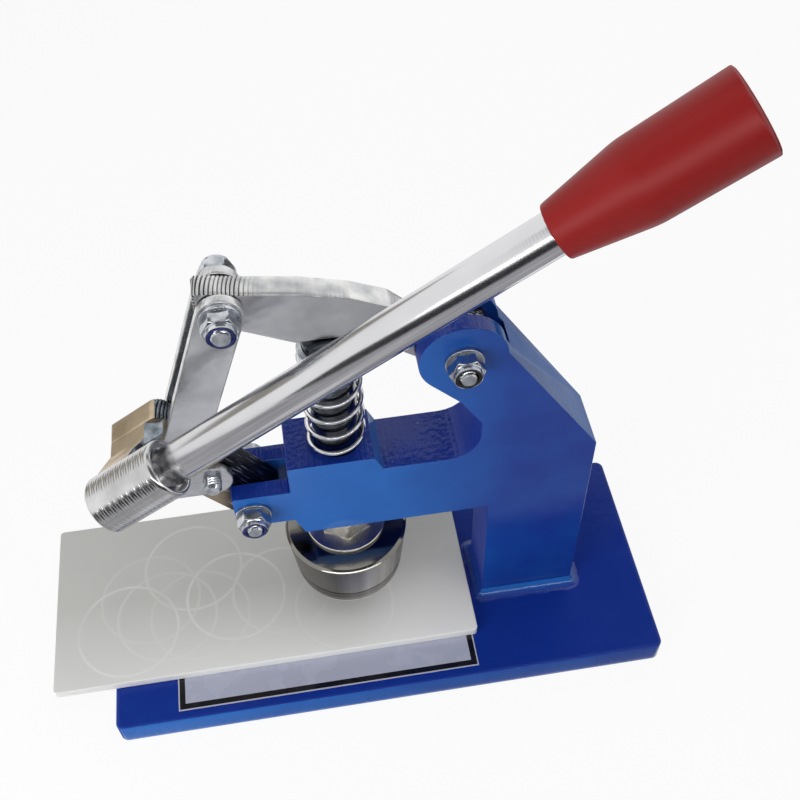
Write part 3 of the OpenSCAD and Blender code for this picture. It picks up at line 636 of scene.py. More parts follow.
def brushed_knife_steel(middle, bottom):
    """Cutter side: tool steel brushed in fine lines round its axis, about 0.35 mm apart.

    The lines draw each reflection out into an upright streak. A painted highlight lightens the side a little
    to the right of the front, and both the light and the dark side are broken by streaks along the angle
    round the axis. Below the upper groove the steel is darker, and a thin painted highlight runs along its
    rim.
    """
    made, put, coords = begin("brushed_tool_steel")
    place = put("VectorMath", {0: coords["Object"], 1: (*middle, 0)}, operation="SUBTRACT")
    flat = put("VectorMath", {0: place, 1: (1, 1, 0)}, operation="MULTIPLY")
    outward = put("VectorMath", {0: flat}, operation="NORMALIZE")
    streak = put("TexNoise", {"Vector": outward, "Scale": 5.0, "Detail": 4.0})
    # Painted highlight: the side turned a little right of the front gets the light tone
    highlight_side = put("VectorMath", {0: outward, 1: (0.3, -0.95, 0)}, operation="DOT_PRODUCT")
    drift = put("Math", {0: streak, 1: 0.22, 2: highlight_side}, operation="MULTIPLY_ADD")
    share = put("MapRange", {0: drift, 1: 0.94, 2: 1.14})
    tone = put("Mix", {0: share, 6: linear("#5E5A55"), 7: linear("#C8C4BE")}, data_type="RGBA")
    height = put("SeparateXYZ", {0: place}).outputs["Z"]
    below = put("MapRange", {0: height, 1: bottom + 9.7 * MM, 2: bottom + 9.3 * MM, 4: 0.5})
    band = put("Mix", {0: below, 6: tone, 7: linear("#2C2926")}, data_type="RGBA")
    # Painted highlight: a thin bright line along the rim
    sharp = put("MapRange", {0: height, 1: bottom + 1.1 * MM, 2: bottom + 0.7 * MM})
    ground = put("Mix", {0: sharp, 6: band, 7: linear("#F4F2EE")}, data_type="RGBA")
    rings = put("Mapping", {"Vector": place, "Scale": (1 / (9 * MM), 1 / (9 * MM), 1 / (0.35 * MM))})
    lines = put("TexNoise", {"Vector": rings, "Scale": 1.0, "Detail": 2.0})
    skin = put("Bump", {"Strength": 0.4, "Distance": 0.04 * MM, "Height": lines})
    around = put("Tangent", direction_type="RADIAL", axis="Z")
    return complete(made, put, {"Base Color": ground, "Metallic": 1.0, "Roughness": 0.3, "Anisotropic": 0.7,
                                "Normal": skin, "Tangent": around})


def moulded(name, colour, roughness, cloud, shade, grain, sheen=0.5):
    """Moulded plastic, nylon or rubber: a slow change of tone and a fine spark-eroded grain, in mm."""
    made, put, coords = begin(name)
    place = coords["Object"]
    haze = put("TexNoise", {"Vector": place, "Scale": 1 / (cloud * MM), "Detail": 2.0})
    tone = put("Mix", {0: haze, 6: colour, 7: dimmed(colour, shade)}, data_type="RGBA")
    gloss = put("MapRange", {0: haze, 1: 0.3, 2: 0.7, 3: roughness - 0.05, 4: roughness + 0.05})
    spark = put("TexNoise", {"Vector": place, "Scale": 1 / (grain * MM), "Detail": 2.0})
    skin = put("Bump", {"Strength": 0.15, "Distance": 0.1 * MM, "Height": spark})
    return complete(made, put, {"Base Color": tone, "Metallic": 0.0, "Roughness": gloss, "IOR": 1.5,
                                "Specular IOR Level": sheen, "Normal": skin})


# Middles of the knife marks on the board's top, in millimetres
KNIFE_MARKS = ((-118.6, 8.0), (-95.9, 23.4), (-74.6, 2.9), (-50.8, 2.5), (-93.4, -5.2),
               (-130.1, -8.6), (-19.3, -11.4), (-110.2, -3.2))


def marked_polyethylene(colours, sizes):
    """Milky polyethylene board: satin sawn surface, with painted light that makes it lighter towards the
    front and the right, and faint rings where the round knife has cut into it."""
    made, put, coords = begin("white_polyethylene")
    place = coords["Object"]
    knife = reach("cutter_head", RIGHT)
    radius = (knife[1] - knife[0]) / 2 - 3.9 * MM
    flat = put("VectorMath", {0: place, 1: (1, 1, 0)}, operation="MULTIPLY")
    total = 0.0
    for number, (x, y) in enumerate(KNIFE_MARKS):
        away = put("VectorMath", {0: flat, 1: (x * MM, y * MM, 0)}, operation="DISTANCE")
        off = put("Math", {0: away, 1: radius}, operation="SUBTRACT")
        gap = put("Math", {0: off}, operation="ABSOLUTE")
        strength = 0.2 + 0.25 * math.sin(2.3 * number) ** 2
        line = put("MapRange", {0: gap, 1: sizes.mark_width * 0.15, 2: sizes.mark_width, 3: strength, 4: 0.0})
        total = put("Math", {0: total, 1: line}, operation="MAXIMUM")
    haze = put("TexNoise", {"Vector": place, "Scale": 1 / (35 * MM), "Detail": 3.0})
    broken = put("MapRange", {0: haze, 1: 0.35, 2: 0.6, 3: 0.25, 4: 1.0})
    cut = put("Math", {0: total, 1: broken}, operation="MULTIPLY")
    tone = put("Mix", {0: haze, 6: colours.board, 7: dimmed(colours.board, 0.88)}, data_type="RGBA")
    parts = put("SeparateXYZ", {0: place}).outputs
    # Painted light: the board turns lighter towards the front and the right
    near = put("MapRange", {0: parts["Y"], 1: -37 * MM, 2: 8 * MM, 3: 1.0, 4: 0.0})
    side = put("MapRange", {0: parts["X"], 1: -150 * MM, 2: -40 * MM, 3: 0.45, 4: 1.0})
    rubbed_and_lit = put("Math", {0: near, 1: side}, operation="MULTIPLY")
    tone = put("Mix", {0: rubbed_and_lit, 6: tone, 7: linear("#EFEFED")}, data_type="RGBA")
    pale = put("Mix", {0: cut, 6: tone, 7: linear("#EEEEEC")}, data_type="RGBA")
    gloss = put("MapRange", {0: cut, 3: 0.36, 4: 0.65})
    sawn = put("TexNoise", {"Vector": place, "Scale": 1 / (1.6 * MM), "Detail": 2.0})
    dent = put("Bump", {"Strength": 0.5, "Distance": 0.3 * MM, "Height": cut}, invert=True)
    skin = put("Bump", {"Strength": 0.1, "Distance": 0.2 * MM, "Height": sawn, "Normal": dent})
    return complete(made, put, {"Base Color": pale, "Metallic": 0.0, "Roughness": gloss, "IOR": 1.5,
                                "Normal": skin})


def printed_film(name, colour, edge_line):
    """Laminated label film: gloss plastic, faintly scuffed; the border shows the film's pale cut edge."""
    made, put, coords = begin(name)
    place = coords["Object"]
    haze = put("TexNoise", {"Vector": place, "Scale": 1 / (12 * MM), "Detail": 4.0})
    if edge_line:
        low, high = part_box("label_border")
        from_middle = put("VectorMath", {0: place, 1: (low + high) / 2}, operation="SUBTRACT")
        away = put("VectorMath", {0: from_middle}, operation="ABSOLUTE")
        inside = put("VectorMath", {0: (high - low) / 2, 1: away}, operation="SUBTRACT")
        parts = put("SeparateXYZ", {0: inside}).outputs
        least = put("Math", {0: parts["X"], 1: parts["Y"]}, operation="MINIMUM")
        rim = put("MapRange", {0: least, 1: 0.7 * MM, 2: 0.5 * MM})
        tone = put("Mix", {0: rim, 6: colour, 7: linear("#B9BAC8")}, data_type="RGBA")
    else:
        rubbed_and_lit = put("MapRange", {0: haze, 1: 0.5, 2: 0.75, 3: 0.0, 4: 0.12})
        tone = put("Mix", {0: rubbed_and_lit, 6: colour, 7: linear("#DCDCE6")}, data_type="RGBA")
    gloss = put("MapRange", {0: haze, 1: 0.35, 2: 0.75, 3: 0.16, 4: 0.4})
    skin = put("Bump", {"Strength": 0.15, "Distance": 0.3 * MM, "Height": haze})
    return complete(made, put, {"Base Color": tone, "Metallic": 0.0, "Roughness": gloss, "IOR": 1.5,
                                "Normal": skin})


class CUTTER_OT_base(bpy.types.Operator):
    """Base plate with rounded painted edges."""

    bl_idname = "cutter.base"
    bl_label = "Base plate"

    def execute(self, context):
        low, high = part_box("base_plate")
        paint = blue_enamel("blue_gloss_enamel_base", context.scene.cutter_colours,
                            lay=2, shadowed=(-110, 170), lumps=0.06, shine=0.25)
        solid = slab(low, high, corner=4 * MM, edge=0.9 * context.scene.cutter_sizes.paint_edge)
        piece("base_painted", [solid], [paint], "frame", "base_plate")
        return {"FINISHED"}


class CUTTER_OT_label(bpy.types.Operator):
    """Blank printed label with its dark border."""

    bl_idname = "cutter.label"
    bl_label = "Label"

    def execute(self, context):
        colours = context.scene.cutter_colours
        coat("label_sheet", printed_film("laminated_film", colours.film, edge_line=False))
        coat("label_border", printed_film("laminated_film_border", colours.border, edge_line=True))
        return {"FINISHED"}


class CUTTER_OT_board(bpy.types.Operator):
    """Loose cutting board with knife marks."""

    bl_idname = "cutter.board"
    bl_label = "Cutting board"

    def execute(self, context):
        low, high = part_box("cutting_board")
        plastic = marked_polyethylene(context.scene.cutter_colours, context.scene.cutter_sizes)
        # Clear of the label's top, so that the two faces never share a plane
        low.z += 0.05 * MM
        solid = slab(low, high, corner=2 * MM, edge=0.35 * MM)
        piece("board_marked", [solid], [plastic], "board", "cutting_board")
        return {"FINISHED"}


class CUTTER_OT_frame(bpy.types.Operator):
    """Frame plate with rounded painted edges, and the weld at its foot."""

    bl_idname = "cutter.frame"
    bl_label = "Frame and weld"

    def execute(self, context):
        sizes = context.scene.cutter_sizes
        colours = context.scene.cutter_colours
        paint = blue_enamel("blue_gloss_enamel_frame", colours, lay=1, shadowed=(5, 62), lumps=0.22)
        softened("frame_painted", "frame_block", paint, sizes.paint_edge, "frame")
        # The weld ends well before 200 mm, so it gets none of the painted shade along x
        wet = blue_enamel("blue_gloss_enamel_weld", colours, lay=1, shadowed=(200, 300), lumps=0.1, shine=0.5)
        points, cells = self.bead(sizes)
        piece("weld_bead", [(points, [cells])], [wet], "frame", "foot_weld", crease=60)
        return {"FINISHED"}

    def bead(self, sizes):
        """Weld: a hollow fillet round the foot, its legs times 0.9 + ripples + slow lumps along the way.

        Its slope turns quickly below the column and slowly towards the base: by the way's 0.6th power, up to
        0.9 of a quarter turn, so that its toe never lies in the base's plane. A closed section of outward and
        upward offsets is carried along the closed path.
        """
        low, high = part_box("foot_weld")
        leg = high.z - low.z
        inner_low = np.array([low.x + leg, low.y + leg])
        inner_high = np.array([high.x - leg, high.y - leg])
        middle = (inner_low + inner_high) / 2
        half = (inner_high - inner_low) / 2
        way = np.linspace(0, 1, 120, endpoint=False)
        fan = np.linspace(0, TURN / 4, 9)
        corners = np.array([[1, -1], [1, 1], [-1, 1], [-1, -1]])
        path = []
        turn = []
        for side in range(4):
            start = middle + half * corners[side - 1]
            end = middle + half * corners[side]
            path += [start + (end - start) * way[:, None], np.repeat(end[None], len(fan), axis=0)]
            facing = (side - 1) * TURN / 4
            turn += [np.full(len(way), facing), facing + fan]
        path = np.vstack(path)
        turn = np.concatenate(turn)
        run = np.concatenate([[0], np.cumsum(np.hypot(*np.diff(path, axis=0).T) + 0.5 * MM)])
        outward = np.stack([np.cos(turn), np.sin(turn), np.zeros(len(turn))], axis=1)
        ripple = 0.007 * np.abs(np.sin(math.pi * run / sizes.weld_ripple))
        lumps = 0.03 * np.sin(TURN * run / (31 * MM)) + 0.02 * np.sin(TURN * run / (12.7 * MM) + 1.0)
        swell = 0.9 + ripple + lumps
        slope = 0.9 * TURN / 4 * np.linspace(0, 1, 13) ** 0.6
        out = np.cumsum(np.sin(slope))
        down = np.cumsum(np.cos(slope))
        face = np.stack([out / out[-1], 1 - down / down[-1]], axis=1) * leg
        root = np.array([[-0.4 * MM, 0], [-0.4 * MM, 0.4 * MM]])
        roots = np.broadcast_to(root, (len(run), 2, 2))
        section = np.concatenate([face * swell[:, None, None], roots], axis=1)
        base = np.column_stack([path, np.full(len(path), low.z)])
        offset = outward[:, None] * section[..., :1] + UPWARD * section[..., 1:]
        return grid(base[:, None] + offset, wrap_rows=True, wrap_columns=True)


class CUTTER_OT_pivots(bpy.types.Operator):
    """Bolts, washers and lock nuts of the three pivots."""

    bl_idname = "cutter.pivots"
    bl_label = "Pivot bolts and nuts"

    def execute(self, context):
        pitch = context.scene.cutter_sizes.thread_pitch
        zinc = metal("zinc_plated_nuts")
        tint = context.scene.cutter_colours.lock_ring
        blue = moulded("nylon_lock_ring_blue", tint, roughness=0.35, cloud=4, shade=0.8, grain=0.6)
        dark = linear("#101013")
        black = moulded("nylon_lock_ring_black", dark, roughness=0.4, cloud=4, shade=0.7, grain=0.6)
        for pivot, ring_finish, ring_slot in (("fork", blue, "blue_nylon"), ("ear", black, "black_nylon")):
            self.bolt(pivot + "_bolt", pitch, zinc, "frame", thread=10 * MM)
            self.washers(pivot + "_washers", zinc, "frame")
            self.nuts(pivot + "_nut", [reach(pivot + "_nut", BACK)[1]], zinc, "frame")
            self.rings(pivot + "_nut_insert", ring_finish, "frame", ring_slot)
        self.bolt("link_foot_bolt", pitch, zinc, "links", thread=12 * MM)
        self.studs(pitch, zinc)
        self.washers("link_washers", zinc, "links")
        self.nuts("link_nuts", reach("link_washers", BACK), zinc, "links")
        self.rings("link_nut_inserts", blue, "links", "blue_nylon")
        coat("arm_end_pin", zinc)
        return {"FINISHED"}

    def bolt(self, node, pitch, zinc, body, thread):
        """Through bolt, its chamfered head behind, threaded towards its cut tip at the front."""
        low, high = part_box(node)
        length = high.y - low.y
        head = 5.3 * MM
        corner = FLATS / 2 * CORNER_CUT
        rows = [[0, 0], *corner_cone(FLATS / 2 * 0.97, corner).tolist()]
        rows += [[corner, head - 0.2 * MM], [FLATS / 2 * 0.96, head]]
        rows += shank_profile(SHANK, head, length, pitch, tip=1.2 * MM)
        shape = threaded(length - thread, length, pitch, hexagon(FLATS))
        solid = turned(rows, pivot_place(node, high.y, FRONT), shape=shape)
        piece(node + "_threaded", [solid], [zinc], body, node)

    def washers(self, node, zinc, body):
        """Flat washers at both ends of a node's depth."""
        low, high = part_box(node)
        profile = ring_profile((high.x - low.x) / 2, BORE, WASHER, edge=0.3 * MM)
        parts = [turned(profile, pivot_place(node, y, along), loop=True)
                 for y, along in ((low.y, BACK), (high.y, FRONT))]
        piece(node + "_pressed", parts, [zinc], body, node)

    def nuts(self, node, seats, zinc, body):
        """Lock nuts standing on their seats, away from the frame's middle."""
        collar = (5.9 * MM, 8 * MM, 5.25 * MM)
        profile = nut_profile(FLATS, BORE, height=5.6 * MM, crown=collar)
        seated = [pivot_place(node, y, FRONT if y < 0 else BACK) for y in seats]
        parts = [turned(profile, place, shape=hexagon(FLATS), loop=True) for place in seated]
        piece(node + "_crowned", parts, [zinc], body, node)

    def rings(self, node, nylon, body, slot):
        """Nylon rings set in the nuts' collars, their outer lips rounded."""
        low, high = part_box(node)
        profile = ring_profile((high.x - low.x) / 2, BORE, height=1.6 * MM, edge=0.45 * MM)
        ends = [low.y] if high.y - low.y < 3 * MM else [low.y, high.y]
        seated = [pivot_place(node, y, BACK if y < 0 else FRONT) for y in ends]
        parts = [turned(profile, place, steps=60, loop=True) for place in seated]
        piece(node + "_moulded", parts, [nylon], body, node)

    def studs(self, pitch, zinc):
        """Threaded ends of the upper link pivot."""
        inner = reach("link_near", BACK)[1]
        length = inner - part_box("link_studs")[0].y
        profile = [[0, 0]] + shank_profile(SHANK, 0, length, pitch, tip=0.6 * MM)
        shape = threaded(length - 8 * MM, length, pitch)
        parts = [turned(profile, pivot_place("link_studs", y, along), shape=shape)
                 for y, along in ((inner, FRONT), (-inner, BACK))]
        piece("link_studs_threaded", parts, [zinc], "links", "link_studs")


class CUTTER_OT_lever(bpy.types.Operator):
    """Lever plate with torch-cut edges, and the stem that carries the handle."""

    bl_idname = "cutter.lever"
    bl_label = "Lever"

    def execute(self, context):
        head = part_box("link_foot_bolt")[1].z + 12 * MM

        def shoulder(rim, normal):
            return (normal @ ALONG[[0, 2]] > 0.5) & (rim[:, 1] > head)

        def strength(rim, normal):
            return np.where(shoulder(rim, normal), 1.6, 0.1)
        points, cells, walls, caps, groove, rim, normal = plate(
            "lever_plate", context.scene.cutter_sizes, strength, seed=3)
        finishes = [metal("ground_steel_warm_reflection"), metal("torch_cut_shoulder")]
        rough = shoulder(rim, normal)
        piece("lever_cut", [(points, [*caps, *walls, cells[~rough]], [cells[rough]])], finishes, "lever",
              "lever_plate", groove=groove)
        stem = softened("stem_ground", "hub_stem", finishes[0], 0.3 * MM, "lever").data
        stem.materials.append(finishes[1])
        facing = np.empty(len(stem.polygons) * 3, np.float32)
        stem.polygons.foreach_get("normal", facing)
        stem.polygons.foreach_set("material_index", (facing.reshape(-1, 3) @ ALONG > 0.3).astype(np.int32))
        return {"FINISHED"}


class CUTTER_OT_handle(bpy.types.Operator):
    """Turned socket, chromed rod and moulded grip."""

    bl_idname = "cutter.handle"
    bl_label = "Handle"

    def execute(self, context):
        steel = metal("lathe_turned_steel")
        chrome = metal("chromium_plate")
        red = moulded("moulded_red_abs", context.scene.cutter_colours.grip,
                      roughness=0.42, cloud=60, shade=0.9, grain=0.9, sheen=0.35)
        socket = self.socket(context.scene.cutter_sizes.groove_depth)
        for name, solid, made, node, slot in (
                ("socket_turned", socket, steel, "handle_socket", "ground_steel"),
                ("rod_chromed", self.rod(), chrome, "handle_rod", "chrome"),
                ("grip_moulded", self.grip(), red, "handle_grip", "red_plastic")):
            piece(name, [solid], [made], "lever", node, crease=50)
        return {"FINISHED"}

    def socket(self, depth):
        """Socket: a cylinder whose radius falls by the groove depth times a sum of two sines along it."""
        place, length, radius = handle_place("handle_socket")
        way = np.linspace(1.0 * MM, length - 1.2 * MM, 150)
        wave = 0.5 + 0.3 * np.sin(TURN * way / (1.3 * MM)) + 0.2 * np.sin(TURN * way / (2.17 * MM) + 0.7)
        side = np.stack([radius - depth * wave, way], axis=1)
        seat = length - 26 * MM
        hole = 8.05 * MM
        foot = [[0, 0], [radius - 1.2 * MM, 0], [radius - 0.4 * MM, 0.3 * MM]]
        mouth = [[radius - 0.5 * MM, length - 0.3 * MM], [radius - 1.0 * MM, length], [10.4 * MM, length],
                 [10 * MM, length - 0.3 * MM], [9.6 * MM, length - 1.6 * MM], [8.9 * MM, length - 2.3 * MM],
                 [hole, length - 2.5 * MM], [hole, seat], [0, seat]]
        return turned(np.vstack([foot, side, mouth]), place, steps=96)

    def rod(self):
        """Rod: a cylinder with shallow rings next to the grip, and its thin end inside the grip."""
        place, length, radius = handle_place("handle_rod")
        inner = reach("handle_grip", ALONG)[0] - reach("handle_rod", ALONG)[0]
        ringed = np.linspace(inner - 20 * MM, inner - 0.4 * MM, 110)
        fade = np.clip((ringed - ringed[0]) / (9 * MM), 0, 1)
        dips = 0.004 * MM * fade * (0.5 + 0.5 * np.sin(TURN * ringed / (1.25 * MM)))
        thin = 6 * MM
        foot = [[0, 0.0], [radius - 0.6 * MM, 0.0], [radius, 0.6 * MM]]
        side = np.stack([radius - dips, ringed], axis=1)
        end = [[radius - 0.3 * MM, inner], [thin, inner], [thin, length - 0.5 * MM],
               [thin - 0.5 * MM, length], [0, length]]
        return turned(np.vstack([foot, side, end]), place, steps=96)

    def grip(self):
        """Grip: a long cone, a soft shoulder, an almost straight barrel and a shallow domed end."""
        place, length, radius = handle_place("handle_grip")
        small = 10.2 * MM
        wide = 15.15 * MM
        shoulder = 29.5 * MM
        hole = 6.05 * MM
        depth = 45 * MM
        cone_way = np.linspace(0.5 * MM, shoulder, 20)
        cone = small + (wide - small) * cone_way / shoulder
        barrel_way = np.linspace(shoulder, length - 3.0 * MM, 16)[1:]
        barrel = wide + (radius - wide) * (barrel_way - shoulder) / (barrel_way[-1] - shoulder)
        way = np.concatenate([cone_way, barrel_way])
        even_way = np.linspace(way[0], way[-1], 60)
        even_side = np.interp(even_way, way, np.concatenate([cone, barrel]))
        even_side[2:-2] = np.convolve(even_side, np.full(5, 0.2), mode="same")[2:-2]
        angle = np.linspace(0, TURN / 4, 12)
        round_lip = 0.9 * MM
        inner = radius - round_lip
        rim = length - 2.1 * MM
        lip = np.stack([inner + round_lip * np.cos(angle), rim + round_lip * np.sin(angle)], axis=1)
        crown = 1.2 * MM
        over = angle[1:-1]
        dome = np.stack([inner * np.cos(over), length - crown + crown * np.sin(over)], axis=1)
        foot = [[0, depth], [hole, depth], [hole, 0.4 * MM], [6.5 * MM, 0], [small - 0.3 * MM, 0],
                [small - 0.06 * MM, 0.2 * MM]]
        side = np.stack([even_side, even_way], axis=1)
        return turned(np.vstack([foot, side, lip, dome, [[0, length]]]), place, steps=96)


class CUTTER_OT_links(bpy.types.Operator):
    """The two hook links with torch-cut edges."""

    bl_idname = "cutter.links"
    bl_label = "Links"

    def execute(self, context):
        def strength(rim, normal):
            return np.full(len(rim), 0.28)
        for seed, node in ((11, "link_near"), (12, "link_far")):
            zinc_plate(node + "_cut", node, context.scene.cutter_sizes, strength, seed, "links")
        return {"FINISHED"}


class CUTTER_OT_arm(bpy.types.Operator):
    """Press arm, its ridges deepest near its front end."""

    bl_idname = "cutter.arm"
    bl_label = "Press arm"

    def execute(self, context):
        def strength(rim, normal):
            return np.clip((-30 * MM - rim[:, 0]) / (14 * MM), 0.15, 2.0)
        zinc_plate("arm_cut", "press_arm", context.scene.cutter_sizes, strength, seed=5, body="arm")
        return {"FINISHED"}


class CUTTER_OT_ram(bpy.types.Operator):
    """Ram with its cap, ring and return spring."""

    bl_idname = "cutter.ram"
    bl_label = "Ram and spring"

    def execute(self, context):
        self.ram()
        for node, edge, slot in (("spring_cap", 0.5, "zinc_steel"), ("cap_clip", 0.25, "dark_steel")):
            place, radius, tall = upright_place(node)
            profile = ring_profile(radius, bore=10.05 * MM, height=tall, edge=edge * MM)
            solid = turned(profile, place, loop=True)
            piece(node + "_turned", [solid], [metal("zinc_plated_nuts")], "ram", node)
        self.spring()
        return {"FINISHED"}

    def ram(self):
        """Ram: thread, cylinder and a domed top, its height the root of R squared less r squared."""
        place, radius, length = upright_place("ram")
        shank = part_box("cutter_nut")[1].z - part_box("ram")[0].z
        sphere = 18 * MM
        spread = np.linspace(radius - 0.4 * MM, 0, 12)
        dome = np.stack([spread, length - sphere + np.sqrt(sphere ** 2 - spread ** 2)], axis=1)
        edge = dome[0, 1]
        thread = 6.95 * MM
        rows = [[0, 0], [thread - 0.35 * MM, 0], [thread, 0.5 * MM], [thread, shank],
                [radius - 0.5 * MM, shank], [radius, shank + 0.5 * MM], [radius, edge - 0.6 * MM],
                [radius - 0.12 * MM, edge - 0.25 * MM]]
        solid = turned(np.vstack([rows, dome]), place, steps=96)
        piece("ram_ground", [solid], [metal("polished_ram_steel")], "ram", "ram", crease=45)

    def spring(self):
        """Spring: a round wire wound at x = R cos t, y = R sin t, rising slowly in the closed end turns."""
        low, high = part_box("return_spring")
        wire = 1.0 * MM
        radius = 12 * MM
        turns = 6.0
        closed = 0.5
        sides = 14
        middle = upright_place("ram")[0][:2, 3]
        count = int(turns * 72)
        way = np.linspace(0, turns, count + 1)
        rise = closed * 2.6 * MM
        bottom = low.z + wire
        top = high.z - wire
        height = np.interp(way, [0, closed, turns - closed, turns], [bottom, bottom + rise, top - rise, top])
        height[4:-4] = np.convolve(height, np.full(9, 1 / 9), mode="valid")
        turn = way * TURN
        out = np.stack([np.cos(turn), np.sin(turn), np.zeros(count + 1)], axis=1)
        line = np.column_stack([middle + radius * out[:, :2], height])
        around = np.arange(sides) * TURN / sides
        ring = out[:, None] * np.cos(around)[:, None] + UPWARD * np.sin(around)[:, None]
        points, quads = grid(line[:, None] + ring * wire, wrap_columns=True)
        ends = np.array([np.arange(sides)[::-1], np.arange(sides) + count * sides])
        made = piece("spring_wound", [(points, [quads, ends])], [metal("plated_spring_wire")], "ram",
                     "return_spring", crease=50)
        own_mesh(made)


class CUTTER_OT_cutter(bpy.types.Operator):
    """Round knife with its nut, washer and pad."""

    bl_idname = "cutter.knife"
    bl_label = "Round knife"

    def execute(self, context):
        self.head()
        zinc = metal("zinc_plated_large_nut")
        place, radius, tall = upright_place("cutter_washer")
        washer = turned(ring_profile(radius, KNIFE_BORE, tall, edge=0.5 * MM), place, steps=96, loop=True)
        piece("nut_large", [self.nut()], [zinc], "ram", "cutter_nut")
        piece("washer_large", [washer], [zinc], "ram", "cutter_washer")
        rubber = moulded("black_rubber", linear("#1C1C1C"), roughness=0.75, cloud=10, shade=0.7, grain=0.8)
        coat("ejector_pad", rubber)
        return {"FINISHED"}

    def head(self):
        """Knife: hollow below, ground bevel, two fine grooves, a straight taper and a chamfered top."""
        place, top, tall = upright_place("cutter_head")
        edge = 25.25 * MM
        wall = edge - 0.35 * MM
        hollow = 14 * MM
        bevel = 4.0 * MM
        taper = np.linspace(bevel, tall - 1.9 * MM, 110)
        side = np.interp(taper, [bevel, tall - 1.6 * MM], [edge + 0.9 * MM, top])
        for groove, depth in ((9.5 * MM, 0.2 * MM), (7.0 * MM, 0.08 * MM)):
            side -= depth * np.exp(-((taper - groove) / (0.4 * MM)) ** 2)
        rim = [[0, hollow], [wall, hollow], [wall, 0.05 * MM], [edge - 0.1 * MM, 0], [edge, 0.05 * MM],
               [edge + 0.85 * MM, 3.8 * MM]]
        chamfer = [[top, tall - 1.6 * MM], [top - 1.3 * MM, tall - 0.1 * MM], [top - 1.5 * MM, tall]]
        socket = tall - 15 * MM
        bore = [[KNIFE_BORE, tall], [KNIFE_BORE, socket], [0, socket]]
        steps = 128
        points, faces = turned(np.vstack([rim, np.stack([side, taper], axis=1), chamfer, bore]), place, steps)
        # The first row has no radius and so no cells, and the chamfer starts the polished top
        split = (len(rim) - 1 + len(taper)) * steps
        brushed = [faces[0][:split], faces[1]]
        polished = [faces[0][split:], faces[2]]
        finishes = [brushed_knife_steel(place[:2, 3], place[2, 3]), metal("polished_tool_steel")]
        piece("knife_round", [(points, brushed, polished)], finishes, "ram", "cutter_head",
              crease=30)

    def nut(self):
        """Large nut: a hexagon cut by cones at both ends."""
        low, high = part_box("cutter_nut")
        wide = high.x - low.x > high.y - low.y
        flats = (high.y - low.y) if wide else (high.x - low.x)
        place, _, tall = upright_place("cutter_nut")
        shape = hexagon(flats, 0.0 if wide else TURN / 12)
        return turned(nut_profile(flats, KNIFE_BORE, tall), place, steps=96, shape=shape, loop=True)


# Tones of the studio's flags, and the height of the cards that lie on its floor
DARK = ("#2C2C30", "#2C2C30")
GREY = ("#66686C", "#54565A")
LYING = 0.4 * MM
# Cards that only reflections see: name, centre and size in metres, facing, two tones, strength
CARDS = (
    ("card_front", (-0.1, -0.84, 0.22), (2.4, 0.44), BACK, DARK, 1.0),
    ("card_low", (0.0, -0.447, LYING), (1.8, 0.776), UPWARD, ("#BABABC", "#8E8E92"), 1.0),
    ("card_link", (-0.075, -0.158, 1.5 * LYING), (0.09, 0.115), UPWARD, ("#DCDCDE", "#C4C4C8"), 1.0),
    ("card_above", (0.08, 0.55, 1.15), (1.1, 0.5), -UPWARD, GREY, 1.0),
    ("card_ceiling", (0.1, -0.95, 1.3), (2.0, 1.7), -UPWARD, GREY, 1.0),
    ("card_back_left", (-1.0, 0.8, 0.25), (1.2, 0.5), RIGHT * 0.78 + FRONT * 0.62,
     ("#A8A49C", "#86827A"), 1.0),
    ("card_side", (0.246, 0.19, LYING), (0.208, 0.256), UPWARD, ("#A2A8B6", "#A2A8B6"), 1.0),
    ("strip_front", (0.0, -1.3, 0.82), (2.6, 0.12), BACK * 0.85 - UPWARD * 0.53, ("#FFFFFF", "#FFFFFF"), 8.0),
    ("card_right", (1.0, 0.8, LYING), (1.3, 1.4), UPWARD, DARK, 1.0),
)
# Soft lamps aimed at the middle of the press: name, place and size in metres, power in watts
LAMPS = (("key", (-0.45, -0.45, 0.3), 0.4, 2.75), ("ceiling", (0.2, -0.3, 1.6), 1.2, 9.0),
         ("rear", (0.6, 0.9, 0.9), 0.8, 2.0))
LAMP_TARGET = np.array([0.0, 0.0, 0.12])
# Strength of the world's even light, and the share of the floor that shows white whatever falls on it
AMBIENT = 0.26
FLOOR_GLOW = 0.9


